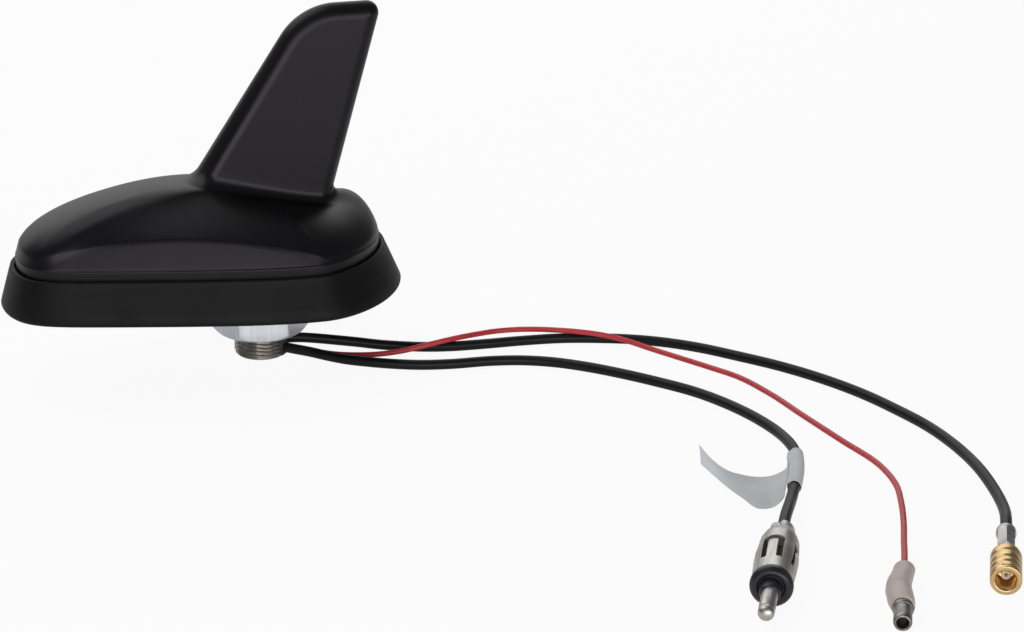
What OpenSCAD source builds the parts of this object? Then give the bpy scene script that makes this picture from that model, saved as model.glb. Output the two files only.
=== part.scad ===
// Shark fin roof aerial: moulded cover, flared rubber seal, hollow threaded stud with its nut,
// and three leads that end in a radio plug, a navigation connector and a supply connector.
// Origin: the stud's axis on the roof seat. +X runs to the tail, +Z is up.

/* [Base outline] */
// Reach of the seal from the stud's axis to its nose
nose_reach = 65.1; // [60:0.1:70]
// Reach of the seal from the stud's axis to its tail
tail_reach = 36.2; // [35:0.1:40]
// Width of the seal at its widest station
base_width = 67; // [62:0.5:70]
// Distance of the widest station behind the stud's axis
widest_station = 9.5; // [6:0.5:12]
// Share of the width that the sides lose towards the nose
nose_taper = 0.56; // [0.4:0.01:0.6]
// Bluntness of the nose in plan
nose_fullness = 20; // [10:1:30]
// Bluntness of the tail in plan
tail_fullness = 1.5; // [1.4:0.1:2.4]

/* [Base seal] */
// Height of the rubber seal
seal_height = 10.7; // [10:0.1:12]
// Thickness of the seal's web under the base plate
seal_web = 2.2; // [1.6:0.1:2.8]
// How far the skirt leans in at the nose
flare_nose = 2.7; // [2.2:0.1:4.5]
// How far the skirt leans in at the tail
flare_tail = 3.9; // [3:0.1:6]
// How much more the skirt leans in along the sides
flare_side = 0.4; // [0:0.1:1.6]
// Thickness of the seal's upper lip
seal_lip = 1.2; // [0.9:0.1:1.5]
// Rounding along the seal's lower edge
seal_edge = 1.2; // [0.6:0.1:1.8]
// Depth of the sealing channel in the seal's underside
channel_depth = 0.8; // [0.4:0.1:1.2]

/* [Cover] */
// Wall thickness of the cover
cover_wall = 2; // [1.6:0.1:2.2]
// Height of the upright band above the seam
band_height = 2.3; // [1.8:0.1:3]
// Depth of the small step above the band
band_step = 0.4; // [0.2:0.05:0.6]
// Height of the side facet's arched crease above the roof seat
arch_top = 20; // [18:0.1:22]
// Distance of the arch's highest point ahead of the stud's axis
arch_station = 25; // [20:1:30]
// Inward lean of the side facet for each millimetre of height
facet_lean = 0.36; // [0.25:0.01:0.45]
// Height of the cover's back where the fin's front edge rises
crown_front = 29.4; // [28:0.1:31]
// Height of the cover's back where the fin's rear edge rises
crown_rear = 23.2; // [22:0.1:25]
// Dip of the fin's foot on both sides of the fin, towards its rear
crown_dip = 2.8; // [0:0.1:3.2]
// Height of the fin's top above the roof seat
fin_top = 71.8; // [64:0.2:76]
// Station of the fin's front edge at its foot
fin_front = -16.2; // [-20:0.2:-14]
// Station of the fin's rear edge at its foot
fin_rear = 21.1; // [20:0.1:24]
// Angle of the fin's front edge above the roof
fin_front_angle = 55.8; // [52:0.2:60]
// Angle of the fin's rear edge above the roof
fin_rear_angle = 73.6; // [70:0.2:80]
// Radius of the fin's front top corner in side view
fin_nose_radius = 17; // [12:0.5:18]
// Radius of the fin's rear top corner in side view
fin_tail_radius = 3; // [1.5:0.1:4]
// Thickness of the fin below its top edge
fin_thickness = 7; // [6.4:0.1:8]
// Draft of each side of the fin in degrees
fin_draft = 1.8; // [1:0.1:2.4]
// Rounding round the fin's perimeter
fin_edge = 3.8; // [3:0.1:5]
// Fillet between the fin and the cover's back
fin_fillet = 2.8; // [1.5:0.1:3.2]

/* [Base plate] */
// Thickness of the die-cast base plate
plate_thickness = 3.2; // [3:0.1:4]
// Radius of the hub that stands through the seal on to the roof
hub_radius = 12; // [11:0.2:13]
// Height of the rib that locates the cover
rib_height = 3; // [2:0.1:4]
// Thickness of the rib that locates the cover
rib_thickness = 1.4; // [1:0.1:1.8]
// Thickness of the gasket under the cover's foot
gasket_thickness = 1; // [0.6:0.1:1.4]
// Height of the pillars that carry the circuit board
pillar_height = 5.1; // [4.6:0.1:6]
// Radius of the pillars that carry the circuit board
pillar_radius = 2.4; // [2.2:0.1:2.8]
// Distance of the front pillars from the seal's nose
pillar_front_gap = 22; // [21:0.5:24]
// Spacing of the two front pillars
pillar_front_spacing = 11; // [10:0.5:14]
// Distance of the side pillars from the seal's widest line
pillar_side_gap = 15.5; // [14.5:0.5:17]

/* [Stud and nut] */
// Diameter of the stud's thread
stud_diameter = 14; // [13:0.5:15]
// Bore of the hollow stud
stud_bore = 9.8; // [9.4:0.1:10.2]
// Reach of the stud below the roof seat
stud_reach = 18.5; // [17.5:0.1:22]
// Width of the slot that the leads leave by
slot_width = 7.6; // [7.2:0.1:8]
// Height of the slot that the leads leave by
slot_height = 5.2; // [5:0.1:6]
// Direction of the slot round the stud
slot_angle = -18; // [-30:1:0]
// Width of the nut across its flats
nut_flats = 22; // [21:0.5:24]
// Thickness of the nut
nut_thickness = 8; // [7:0.1:8.4]
// Direction of one of the nut's corners
nut_turned = -8.5; // [-30:0.5:30]
// Distance from the roof seat to the washer with the nut run down
washer_drop = 2.8; // [2.6:0.1:3.2]
// Thickness of the toothed washer
washer_thickness = 1.2; // [0.8:0.1:1.4]
// Outer radius of the toothed washer
washer_radius = 10.6; // [10:0.1:11]
// Number of teeth on the washer
washer_teeth = 12; // [8:1:16]

/* [Electronics] */
// Thickness of the circuit board
board_thickness = 1.6; // [1:0.2:2]
// Distance of the board's front edge from the seal's nose
board_front_gap = 18; // [17:0.5:19]
// Distance of the board's rear edge from the seal's tail
board_rear_gap = 21; // [20:0.5:23]
// Side of the square ceramic patch
patch_side = 18; // [16:0.5:19]
// Height of the ceramic patch
patch_height = 4; // [2:0.5:6]
// Thickness of the upright board in the fin
blade_thickness = 1; // [0.8:0.1:1.2]
// Height of the screening can under the circuit board
can_height = 3; // [2:0.1:4]

/* [Fasteners] */
// Shank diameter of the screws that hold the cover
cover_screw = 2.9; // [2.5:0.1:3.2]
// Head diameter of the screws that hold the cover
cover_screw_head = 5.5; // [5:0.1:6]
// Shank diameter of the screws that hold the circuit board
board_screw = 1.9; // [1.6:0.1:2.2]
// Depth that the board's screws reach below the board
board_screw_reach = 4; // [3:0.5:5]

/* [Leads] */
// Diameter of the two coaxial leads
coax_diameter = 2.6; // [2.4:0.1:3]
// Diameter of the supply wire
wire_diameter = 1.4; // [1.2:0.1:1.6]

/* [Radio plug] */
// Radius of the plug's spring barrel
plug_radius = 4.3; // [4.2:0.05:4.5]
// Bulge of the spring barrel's leaves
plug_bulge = 0.35; // [0.2:0.05:0.5]
// Radius of the plug's insulating collar
collar_radius = 4.5; // [4.4:0.05:5]
// Radius of the plug's centre pin
pin_radius = 1.7; // [1.5:0.05:1.8]
// Length of the plug's barrel with its crimped tail
plug_length = 26; // [25:0.5:30]
// Free length of the plug's centre pin ahead of its collar
pin_length = 12.5; // [12:0.5:15]

/* [Navigation connector] */
// Outer radius of the connector's body
nav_radius = 3.3; // [3.2:0.05:3.6]
// Radius of the connector's mouth
nav_mouth = 2.1; // [2:0.05:2.3]
// Length of the crimped ferrule
ferrule_length = 11.3; // [10:0.1:12.5]
// Length of the connector's body
nav_length = 13.1; // [12:0.1:15]

/* [Supply connector] */
// Largest radius of the insulating sleeve
sleeve_radius = 2.75; // [2.7:0.05:3.2]
// Length of the insulating sleeve
sleeve_length = 18.4; // [17:0.2:20]
// Outer radius of the metal barrel
barrel_radius = 1.9; // [1.7:0.05:2]
// Radius of the bore in the metal barrel
barrel_bore = 1.25; // [1.1:0.05:1.3]
// Length of the metal barrel ahead of the sleeve
barrel_length = 7.4; // [7:0.1:10]

/* [Hidden] */

// Clearance between pieces that are put together by hand
fit = 0.3;
// Clearance of a running or located fit
close_fit = 0.05;
// Points round each lofted ring and facets of the round shapes
ring_points = 72;
$fn = 48;
ring_angles = [for (i = [0 : ring_points - 1]) 360 * i / ring_points];

// Heights from the roof seat upwards
plate_bottom = seal_web;
plate_top = plate_bottom + plate_thickness;
cover_foot = plate_top + gasket_thickness;
board_bottom = plate_top + pillar_height;
board_top = board_bottom + board_thickness;
band_top = seal_height + band_height;
flange_height = 1.8;
fin_foot = crown_front;

// Heights from the roof seat downwards
surface = -stud_reach;
washer_top = -washer_drop;
nut_top = washer_top - washer_thickness;

// Insets from the seal's lower outline
function mix(a, b, s) = a + (b - a) * s;
function clamp(v) = min(1, max(0, v));
function flare(t) = mix(flare_nose, flare_tail, (1 + cos(t)) / 2) + flare_side * pow(sin(t), 2);
function foot_inset(t) = flare(t) + seal_lip + fit;

// Plan outline of the seal, counterclockwise from the tail
function soft_power(a, p) = let (e = 0.25)
    (pow(a * a + e * e, p / 2) - pow(e, p)) / (pow(1 + e * e, p / 2) - pow(e, p));
function plan(t) =
    let (c = cos(t), a = abs(c), nose = c < 0)
    let (reach = nose ? nose_reach + widest_station : tail_reach - widest_station)
    let (taper = nose ? 1 - nose_taper * soft_power(a, 1) : 1)
    let (round = sqrt(max(0, 1 - (nose ? pow(a, nose_fullness) : soft_power(a, tail_fullness)))))
    [widest_station + reach * c, sign(sin(t)) * base_width / 2 * taper * round];
function plan_normal(t) = let (d = plan(t + 1) - plan(t - 1)) [d.y, -d.x] / norm(d);
function rim(t, inset, z) = let (p = plan(t) - inset * plan_normal(t)) [p.x, p.y, z];
function rim_2d(inset) = [for (t = ring_angles) let (p = rim(t, foot_inset(t) + inset, 0)) [p.x, p.y]];

// Lofted solids: rings run counterclockwise, the first and last are closed with flat caps
function wall_faces(n, a, b) = [for (i = [0 : n - 1]) let (k = (i + 1) % n)
    each [[a + i, b + i, b + k], [a + i, b + k, a + k]]];
module loft(rings) {
    n = len(rings[0]);
    last = (len(rings) - 1) * n;
    walls = [for (j = [0 : len(rings) - 2]) each wall_faces(n, j * n, (j + 1) * n)];
    caps = [[for (i = [0 : n - 1]) i], [for (i = [n - 1 : -1 : 0]) last + i]];
    polyhedron([for (r = rings) each r], concat(walls, caps), convexity = 10);
}
module closed_loft(rings) {
    n = len(rings[0]);
    m = len(rings);
    walls = [for (j = [0 : m - 1]) each wall_faces(n, j * n, ((j + 1) % m) * n)];
    polyhedron([for (r = rings) each r], walls, convexity = 10);
}

// Side view of the fin: two straight edges, a level top and two corner arcs
front_dir = [cos(fin_front_angle), sin(fin_front_angle)];
rear_dir = [cos(fin_rear_angle), sin(fin_rear_angle)];
function front_line(z) = fin_front + (z - fin_foot) / tan(fin_front_angle);
function rear_line(z) = fin_rear + (z - fin_foot) / tan(fin_rear_angle);
nose_run = fin_nose_radius * tan(fin_front_angle / 2);
tail_run = fin_tail_radius * tan((180 - fin_rear_angle) / 2);
nose_centre = [front_line(fin_top) + nose_run, fin_top - fin_nose_radius];
tail_centre = [rear_line(fin_top) - tail_run, fin_top - fin_tail_radius];
nose_start = fin_top - nose_run * front_dir.y;
tail_start = fin_top - tail_run * rear_dir.y;
function arc_x(r, dz) = sqrt(max(0, r * r - dz * dz));
function front_x(z) = z < nose_start ? front_line(z) : nose_centre.x - arc_x(fin_nose_radius, z - nose_centre.y);
function rear_x(z) = z < tail_start ? rear_line(z) : tail_centre.x + arc_x(fin_tail_radius, z - tail_centre.y);

// Distance from a point of the side view to the fin's outline
function edge_distance(x, z) =
    let (n = [x, z] - nose_centre, r = [x, z] - tail_centre)
    let (front = (x - front_line(z)) * front_dir.y, rear = (rear_line(z) - x) * rear_dir.y)
    n * front_dir > 0 && n.x < 0 ? fin_nose_radius - norm(n)
        : r * rear_dir > 0 && r.x > 0 ? fin_tail_radius - norm(r)
        : min(front, rear, fin_top - z);
function edge_round(d) = sqrt(1 - pow(1 - clamp(d / fin_edge), 2));
function fin_half(z) = fin_thickness / 2 + (fin_top - z) * tan(fin_draft);

// A point of the fin at height z; skin is the depth below the outer surface, grow the fillet's spread
function fin_point(t, z, skin, grow) =
    let (x0 = front_x(z) + skin / sin(fin_front_angle) - grow, x1 = rear_x(z) - skin / sin(fin_rear_angle) + grow)
    let (x = mix(x0, x1, (1 + cos(t)) / 2), inner = mix(front_x(z), rear_x(z), (1 + cos(t)) / 2))
    let (d = skin > 0 ? edge_distance(x, z) - skin : edge_distance(inner, z))
    let (y = (fin_half(z) - skin + grow) * edge_round(d))
    [x, sign(sin(t)) * (skin > 0 ? max(y, 0.5) : y), z];
function crown(t) =
    let (rear = (1 + cos(t)) / 2, side = 1.15 * pow(sin(t), 2) / (pow(sin(t), 2) + 0.15))
    mix(crown_front, crown_rear, rear) - crown_dip * rear * side;

// The cover's side: upright band, step, leaning facet up to the arched crease
arch_curve = 0.0048;
function crease_height(x) = max(band_top + 0.4, arch_top - arch_curve * pow(x + arch_station, 2));
function band_ramp(x) = clamp((x + nose_reach - 9) / 6) * clamp((tail_reach - 13 - x) / 8);
function crease(t, skin) =
    let (x = plan(t).x, z = crease_height(x))
    rim(t, foot_inset(t) + skin + band_step * band_ramp(x) + facet_lean * (z - band_top), z - skin / 2);

// The cover's back: from the crease to the fin's foot, steep at first and then almost level
function rise(s, k, m) = k * pow(1 - pow(1 - s, m), 0.4545) + (1 - k) * (1 - pow(1 - s, 2));
function back_point(t, s, skin) =
    let (a = crease(t, skin), z = crown(t) - skin, nose = (1 - cos(t)) / 2)
    let (b = fin_point(t, z, skin, skin > 0 ? 0 : fin_fillet))
    let (arch = clamp((crease_height(plan(t).x) - band_top) / (arch_top - band_top)))
    let (k = mix(mix(0.4, 0.42, nose), 0.25, arch), m = mix(4, 10, nose))
    [mix(a.x, b.x, s), mix(a.y, b.y, s), mix(a.z, b.z, rise(s, k, m))];
function fillet_point(t, a) = fin_point(t, crown(t) + fin_fillet * (1 - cos(a)), 0, fin_fillet * (1 - sin(a)));
function fin_wall(t, v, skin) =
    let (low = crown(t) + (skin > 0 ? -skin : fin_fillet), top = fin_top - (skin > 0 ? 1.5 * skin : 0.02))
    fin_point(t, mix(low, top, v), skin, 0);

back_steps = [0.03, 0.08, 0.15, 0.25, 0.38, 0.53, 0.7, 0.86, 1];
fin_steps = [0.12, 0.26, 0.42, 0.58, 0.72, 0.83, 0.9, 0.945, 0.972, 0.988, 0.997, 1];
outer_rings = concat(
    [[for (t = ring_angles) rim(t, foot_inset(t), cover_foot)]],
    [[for (t = ring_angles) rim(t, foot_inset(t), band_top)]],
    [[for (t = ring_angles) rim(t, foot_inset(t) + band_step * band_ramp(plan(t).x), band_top + 0.2)]],
    [[for (t = ring_angles) crease(t, 0)]],
    [for (s = back_steps) [for (t = ring_angles) back_point(t, s, 0)]],
    [for (a = [30, 60, 90]) [for (t = ring_angles) fillet_point(t, a)]],
    [for (v = fin_steps) [for (t = ring_angles) fin_wall(t, v, 0)]]);
inner_rings = concat(
    [for (v = [1, 0.9, 0.7, 0.35]) [for (t = ring_angles) fin_wall(t, v, cover_wall)]],
    [for (s = [1, 0.7, 0.38, 0.15, 0.05]) [for (t = ring_angles) back_point(t, s, cover_wall)]],
    [[for (t = ring_angles) crease(t, cover_wall)]],
    [[for (t = ring_angles) rim(t, foot_inset(t) + cover_wall, band_top - cover_wall)]],
    [[for (t = ring_angles) rim(t, foot_inset(t) + cover_wall, cover_foot)]]);

// Places of the cover's screw bosses, against its wall, and of the board's pillars
boss_radius = cover_screw / 2 + 1.7;
boss_top = band_top + 1.5;
boss_places = [for (t = [35, 150, 210, 325])
    let (p = rim(t, foot_inset(t) + cover_wall + boss_radius - 0.6, 0)) [p.x, p.y]];
pillar_places = [for (s = [-1, 1]) each [[-nose_reach + pillar_front_gap, s * pillar_front_spacing / 2],
    [widest_station, s * (base_width / 2 - pillar_side_gap)]]];

module at_each(places) {
    for (p = places) translate([p.x, p.y, 0]) children();
}
module cover() {
    color([0.07, 0.07, 0.075]) difference() {
        union() {
            loft(concat(inner_rings, outer_rings));
            at_each(boss_places) translate([0, 0, cover_foot])
                cylinder(r = boss_radius, h = boss_top - cover_foot);
        }
        at_each(boss_places) translate([0, 0, cover_foot - 1])
            cylinder(d = cover_screw + 2 * close_fit, h = boss_top - cover_foot);
    }
}

// Seal: rounded lower edge, flared skirt, upper lip, sealing channel and flat web
channel_width = 2;
web_inset = seal_edge + 2.4 + channel_width;
hole_radius = hub_radius + fit;
seal_profile = [[seal_edge, 0, 0], [0.3 * seal_edge, 0.3 * seal_edge, 0], [0, seal_edge, 0],
    [0, seal_height - 0.3, 1], [0.15, seal_height - 0.08, 1], [0.4, seal_height, 1],
    [seal_lip, seal_height, 1], [seal_lip, seal_web, 1], [web_inset, seal_web, 0],
    [web_inset, channel_depth, 0], [web_inset - channel_width, channel_depth, 0],
    [web_inset - channel_width, 0, 0]];
module base_seal() {
    color([0.06, 0.06, 0.065]) {
        closed_loft([for (p = seal_profile) [for (t = ring_angles) rim(t, p[0] + p[2] * flare(t), p[1])]]);
        linear_extrude(seal_web) difference() {
            polygon([for (t = ring_angles) let (p = rim(t, web_inset, 0)) [p.x, p.y]]);
            circle(r = hole_radius);
        }
    }
}

module plate_ring(from, width, z, height) {
    translate([0, 0, z]) linear_extrude(height) difference() {
        polygon(rim_2d(from));
        polygon(rim_2d(from + width));
    }
}
stud_radius = stud_diameter / 2;
head_depth = 1.8;
module base_plate() {
    color([0.62, 0.63, 0.65]) difference() {
        union() {
            translate([0, 0, plate_bottom]) linear_extrude(plate_thickness) polygon(rim_2d(0));
            difference() {
                plate_ring(cover_wall + fit, rib_thickness, plate_top, rib_height);
                at_each(boss_places) translate([0, 0, plate_top]) cylinder(r = boss_radius + fit, h = rib_height + 1);
            }
            cylinder(r = hub_radius, h = plate_bottom);
            at_each(pillar_places) translate([0, 0, plate_top]) cylinder(r = pillar_radius, h = pillar_height);
        }
        translate([0, 0, -1]) cylinder(r = stud_radius + close_fit, h = plate_top + 2);
        at_each(boss_places) {
            translate([0, 0, plate_bottom - 1]) cylinder(d = cover_screw + fit, h = plate_thickness + 2);
            translate([0, 0, plate_bottom - 1]) cylinder(d = cover_screw_head + fit, h = head_depth + 1);
        }
        at_each(pillar_places) translate([0, 0, plate_top])
            cylinder(d = board_screw + 2 * close_fit, h = pillar_height + 1);
    }
}
module cover_gasket() {
    color([0.2, 0.2, 0.2]) plate_ring(0.3, cover_wall - 0.6, plate_top, gasket_thickness);
}

// Screws stand head down under the base plate
module screw(head, shank, head_height, length) {
    rotate([180, 0, 0]) {
        cylinder(d = head, h = head_height);
        translate([0, 0, -length]) cylinder(d = shank, h = length);
    }
}
screw_length = boss_top - 1.5 - plate_bottom - head_depth;

module cover_screws() {
    color([0.7, 0.7, 0.72]) at_each(boss_places) translate([0, 0, plate_bottom + head_depth])
        screw(cover_screw_head, cover_screw, head_depth - 0.2, screw_length);
}

// Stud: flange on the base plate, plain thread cylinder, chamfered open end, slot for the leads
stud_chamfer = 0.9;
module threaded_stud() {
    outline = [[stud_bore / 2, surface], [stud_radius - stud_chamfer, surface],
        [stud_radius, surface + stud_chamfer], [stud_radius, plate_top],
        [stud_radius + 2.6, plate_top], [stud_radius + 2.6, plate_top + flange_height],
        [stud_bore / 2, plate_top + flange_height]];
    color([0.6, 0.58, 0.54]) difference() {
        rotate_extrude() polygon(outline);
        rotate([0, 0, slot_angle]) translate([0, -slot_width / 2, surface - 1])
            cube([stud_radius + 1, slot_width, slot_height + 1]);
    }
}
outlet = stud_radius - 1;
grommet_bottom = surface + 0.3;
grommet_top = surface + 9;
module cable_grommet() {
    color([0.12, 0.12, 0.12]) translate([0, 0, grommet_bottom]) {
        cylinder(r = stud_bore / 2 - close_fit, h = grommet_top - grommet_bottom);
        intersection() {
            cylinder(r = stud_radius - 0.4, h = slot_height - 0.3 - close_fit);
            rotate([0, 0, slot_angle]) translate([0, -slot_width / 2 + close_fit, -1])
                cube([stud_radius, slot_width - 2 * close_fit, slot_height + 1]);
        }
    }
}
module hex_nut() {
    corner = nut_flats / sqrt(3);
    rim_radius = nut_flats / 2 - 0.3;
    bevel = (corner - rim_radius) * tan(30) * 1.3;
    bevelled = [[0, 0], [rim_radius, 0], [corner + 0.1, bevel], [corner + 0.1, nut_thickness - bevel],
        [rim_radius, nut_thickness], [0, nut_thickness]];
    bore = stud_radius + close_fit;
    color([0.75, 0.76, 0.78]) translate([0, 0, nut_top - nut_thickness]) difference() {
        intersection() {
            rotate([0, 0, nut_turned]) cylinder(r = corner, h = nut_thickness, $fn = 6);
            rotate_extrude() polygon(bevelled);
        }
        translate([0, 0, -1]) cylinder(r = bore, h = nut_thickness + 2);
    }
}
module lock_washer() {
    tooth = 1.4;
    color([0.66, 0.66, 0.68]) translate([0, 0, nut_top]) linear_extrude(washer_thickness) difference() {
        circle(r = washer_radius);
        circle(r = stud_radius + fit);
        for (i = [0 : washer_teeth - 1]) rotate(360 * i / washer_teeth) translate([washer_radius, 0])
            rotate(45) square(tooth, center = true);
    }
}

// Circuit board with its parts
board_inset = cover_wall + 2.5;
board_front = -nose_reach + board_front_gap;
board_rear = tail_reach - board_rear_gap;
module main_board() {
    color([0.1, 0.35, 0.2]) translate([0, 0, board_bottom]) difference() {
        linear_extrude(board_thickness) intersection() {
            polygon(rim_2d(board_inset));
            translate([board_front, -base_width / 2]) square([board_rear - board_front, base_width]);
        }
        at_each(pillar_places) translate([0, 0, -1]) cylinder(d = board_screw + fit, h = board_thickness + 2);
    }
}
module board_screws() {
    color([0.7, 0.7, 0.72]) at_each(pillar_places) translate([0, 0, board_top]) {
        cylinder(d = 1.9 * board_screw, h = 1.3);
        translate([0, 0, -board_thickness - board_screw_reach])
            cylinder(d = board_screw, h = board_thickness + board_screw_reach);
    }
}
patch_station = board_front + 9 + patch_side / 2;
can_side = 16;
module screening_can() {
    color([0.75, 0.75, 0.76]) translate([patch_station - can_side / 2, -can_side / 2, board_bottom - can_height])
        difference() {
            cube([can_side, can_side, can_height]);
            translate([0.4, 0.4, 0.4]) cube([can_side - 0.8, can_side - 0.8, can_height]);
        }
}
feed_offset = 1.6;
module ceramic_patch() {
    color([0.85, 0.8, 0.68]) translate([patch_station, 0, board_top]) difference() {
        translate([-patch_side / 2, -patch_side / 2, 0]) cube([patch_side, patch_side, patch_height]);
        translate([feed_offset, 0, -1]) cylinder(r = 0.5, h = patch_height + 2);
    }
}
module patch_feed_pin() {
    color([0.8, 0.8, 0.82]) translate([patch_station + feed_offset, 0, board_top]) {
        cylinder(r = 0.45, h = patch_height);
        translate([0, 0, patch_height]) cylinder(r = 1.1, h = 0.4);
    }
}

// Upright board in the fin, with the radiator on it, standing in a clip
blade_gap = 3.4;
blade_foot = [fin_front + 12, fin_rear - 7];
function blade_front(z) = front_x(z) + blade_gap / sin(fin_front_angle);
function blade_rear(z) = rear_x(z) - blade_gap / sin(fin_rear_angle);
blade_levels = [crown_front + 2, fin_top - 22, fin_top - 12, fin_top - 7, fin_top - blade_gap - 1];
module fin_blade() {
    outline = concat([[blade_foot[0], board_top], [blade_foot[1], board_top], [blade_foot[1], crown_rear]],
        [for (z = blade_levels) [blade_rear(z), z]],
        [for (i = [len(blade_levels) - 1 : -1 : 0]) [blade_front(blade_levels[i]), blade_levels[i]]],
        [[blade_foot[0], crown_rear]]);
    color([0.12, 0.3, 0.18]) translate([0, blade_thickness / 2, 0]) rotate([90, 0, 0])
        linear_extrude(blade_thickness) polygon(outline);
}
module blade_clip() {
    clip = [5, 3.4, 4];
    color([0.8, 0.75, 0.5]) translate([(blade_foot[0] + blade_foot[1] - clip.x) / 2, -clip.y / 2, board_top])
        difference() {
            cube(clip);
            translate([-1, clip.y / 2 - blade_thickness / 2 - close_fit, -1])
                cube([clip.x + 2, blade_thickness + 2 * close_fit, clip.z + 2]);
        }
}
inner_places = [[-1.8, 1.9, coax_diameter], [-1.8, -1.9, coax_diameter], [2.2, 0, wire_diameter]];
module inner_leads() {
    color([0.1, 0.1, 0.1]) for (p = inner_places) translate([p.x, p.y, grommet_top])
        cylinder(d = p.z, h = board_bottom - grommet_top);
}

// Leads: each route is a list of points, with heights above the surface that the stud's end stands on
function polar(a) = [cos(a), sin(a)];
function exit_point(turn, lean, along, height) =
    let (p = outlet * polar(slot_angle + turn) + along * polar(slot_angle + turn + lean)) [p.x, p.y, height];
function entry_point(place, angle, back, height) = let (p = place - back * polar(angle)) [p.x, p.y, height];
coax = coax_diameter / 2;
wire = wire_diameter / 2;
over = coax_diameter + wire + close_fit;

radio_place = [80.2, -151.6];
radio_angle = -118;
radio_axis = max(plug_radius + plug_bulge, collar_radius);
radio_route = concat([exit_point(-18, -6, 0, 2.1), exit_point(-18, -6, 4.2, 2)],
    [[10.6, -8.6, 1.9], [14.2, -11.8, 1.6], [18.5, -15.2, coax], [23.5, -18.7, coax], [29, -21.9, coax],
    [36, -24.9, coax], [44, -26.6, coax], [53, -27.4, coax], [61, -29.4, coax],
    [68, -32.9, coax], [75, -38.5, coax], [82, -45.8, coax], [88.6, -53.9, coax], [95, -63, coax],
    [100, -74, coax], [103.3, -86, coax], [104.3, -96, coax + 0.1], [103, -106, coax + 0.5],
    [99.6, -115.2, coax + 0.5], [95.2, -124, coax + 0.7], [90.5, -132.8, coax + 1.6]],
    [entry_point(radio_place, radio_angle, 6, radio_axis), entry_point(radio_place, radio_angle, 0, radio_axis)]);

nav_place = [126.8, -163.8];
nav_angle = -118;
nav_route = concat([exit_point(18, -14, 0, 3.2), exit_point(18, -14, 4.2, 3.2)],
    [[14.5, -2.7, 3], [19, -4.3, 2.6], [24, -6, 2.1], [29, -8, 1.6], [34.5, -10.1, coax], [40, -12.5, coax],
    [46.5, -14.2, coax], [55, -15.1, coax], [66, -15.8, coax], [76, -17.2, coax],
    [85, -20, coax], [93, -23.4, coax], [100, -27.8, coax], [107, -34, coax], [114.5, -43, coax],
    [122, -53, coax], [128.5, -64.2, coax], [133.6, -76, coax], [137.2, -88.4, coax],
    [139.8, -101, coax], [140.5, -114, coax], [139.7, -126, coax], [137.3, -138.5, coax],
    [134, -149.2, coax + 0.5]],
    [entry_point(nav_place, nav_angle, 5, nav_radius), entry_point(nav_place, nav_angle, 0, nav_radius)]);

supply_place = [98.7, -172.4];
supply_angle = -116.5;
supply_route = concat([exit_point(-2, -6, 0, wire + 0.3), exit_point(-2, -6, 4.2, wire + 0.3)],
    [[13, -6, wire + 0.1], [17, -9, wire], [22, -11.6, 0.8], [28, -13.6, 1.1], [34, -14.6, 1.7],
    [40, -15, 2.7], [45, -14.8, 3.3], [49.5, -13.7, over], [54, -12.2, 3.1], [60, -11, 2.9], [65, -11.4, 2.9],
    [70, -13.3, 3.1], [75, -16.3, over], [80, -19.2, over], [85.5, -22.2, 2.9], [90.5, -25.8, 2.1],
    [95, -30.5, 1.2], [100, -37.4, wire], [105, -46.4, wire], [109.5, -55, wire], [112.6, -67.3, wire],
    [114.8, -84, wire], [117.2, -101.6, wire], [119.3, -117, wire], [118, -128.6, wire],
    [114.8, -137.9, wire], [110.6, -147.8, wire], [105.8, -157.8, 1.3]],
    [entry_point(supply_place, supply_angle, 5, sleeve_radius), entry_point(supply_place, supply_angle, 0, sleeve_radius)]);

function lift(route) = [for (p = route) [p.x, p.y, surface + p.z]];
function unit(v) = v / norm(v);
function heading(p, i) = unit(p[min(i + 1, len(p) - 1)] - p[max(i - 1, 0)]);
function tube_ring(p, i, r, sides) =
    let (d = heading(p, i), side = unit(cross([0, 0, 1], d)), up = cross(d, side))
    [for (k = [0 : sides - 1]) p[i] + r * (cos(360 * k / sides) * side + sin(360 * k / sides) * up)];
module tube(route, r, sides = 8) {
    p = lift(route);
    loft([for (i = [0 : len(p) - 1]) tube_ring(p, i, r, sides)]);
}
module radio_lead() { color([0.07, 0.07, 0.07]) tube(radio_route, coax); }
module navigation_lead() { color([0.07, 0.07, 0.07]) tube(nav_route, coax); }
module supply_wire() { color([0.7, 0.13, 0.15]) tube(supply_route, wire); }

// Paper flag: wrapped once round the radio lead, its free end lies on the surface and curls up
flag_thickness = 0.3;
flag_rise = 130;
flag_bow = 0.2;
flag_stretch = [for (i = [19 : 21]) i];
flag_stations = [[[95.6, -117, 2.4], [88.6, -131.5, 1.9]], [[93.2, -116.3, 1.1], [87.2, -131, 0.5]],
    [[89.5, -115.3, 0.8], [84.6, -130.7, 0.2]], [[86, -115, 1.7], [82.4, -123.8, 0.4]],
    [[82.2, -115, 3.4], [80.8, -118.9, 1.1]], [[79, -113, 6], [78.7, -115.6, 2.9]],
    [[77.2, -110.8, 8.5], [76.7, -113.2, 4.8]]];
function flag_sheet(points, normals) = let (h = flag_thickness / 2) concat(
    [for (i = [1, 2]) points[i] - h * normals[i]], [for (i = [2, 1, 0]) points[i] + h * normals[i]],
    [points[0] - h * normals[0]]);
function flag_wrap(p, a) =
    let (side = [for (i = flag_stretch) unit(cross([0, 0, 1], heading(p, i)))])
    let (up = [for (k = [0 : 2]) cross(heading(p, flag_stretch[k]), side[k])])
    let (n = [for (k = [0 : 2]) cos(a) * side[k] + sin(a) * up[k]])
    flag_sheet([for (k = [0 : 2]) p[flag_stretch[k]] + (coax + 0.1 + flag_thickness / 2) * n[k]], n);
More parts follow.
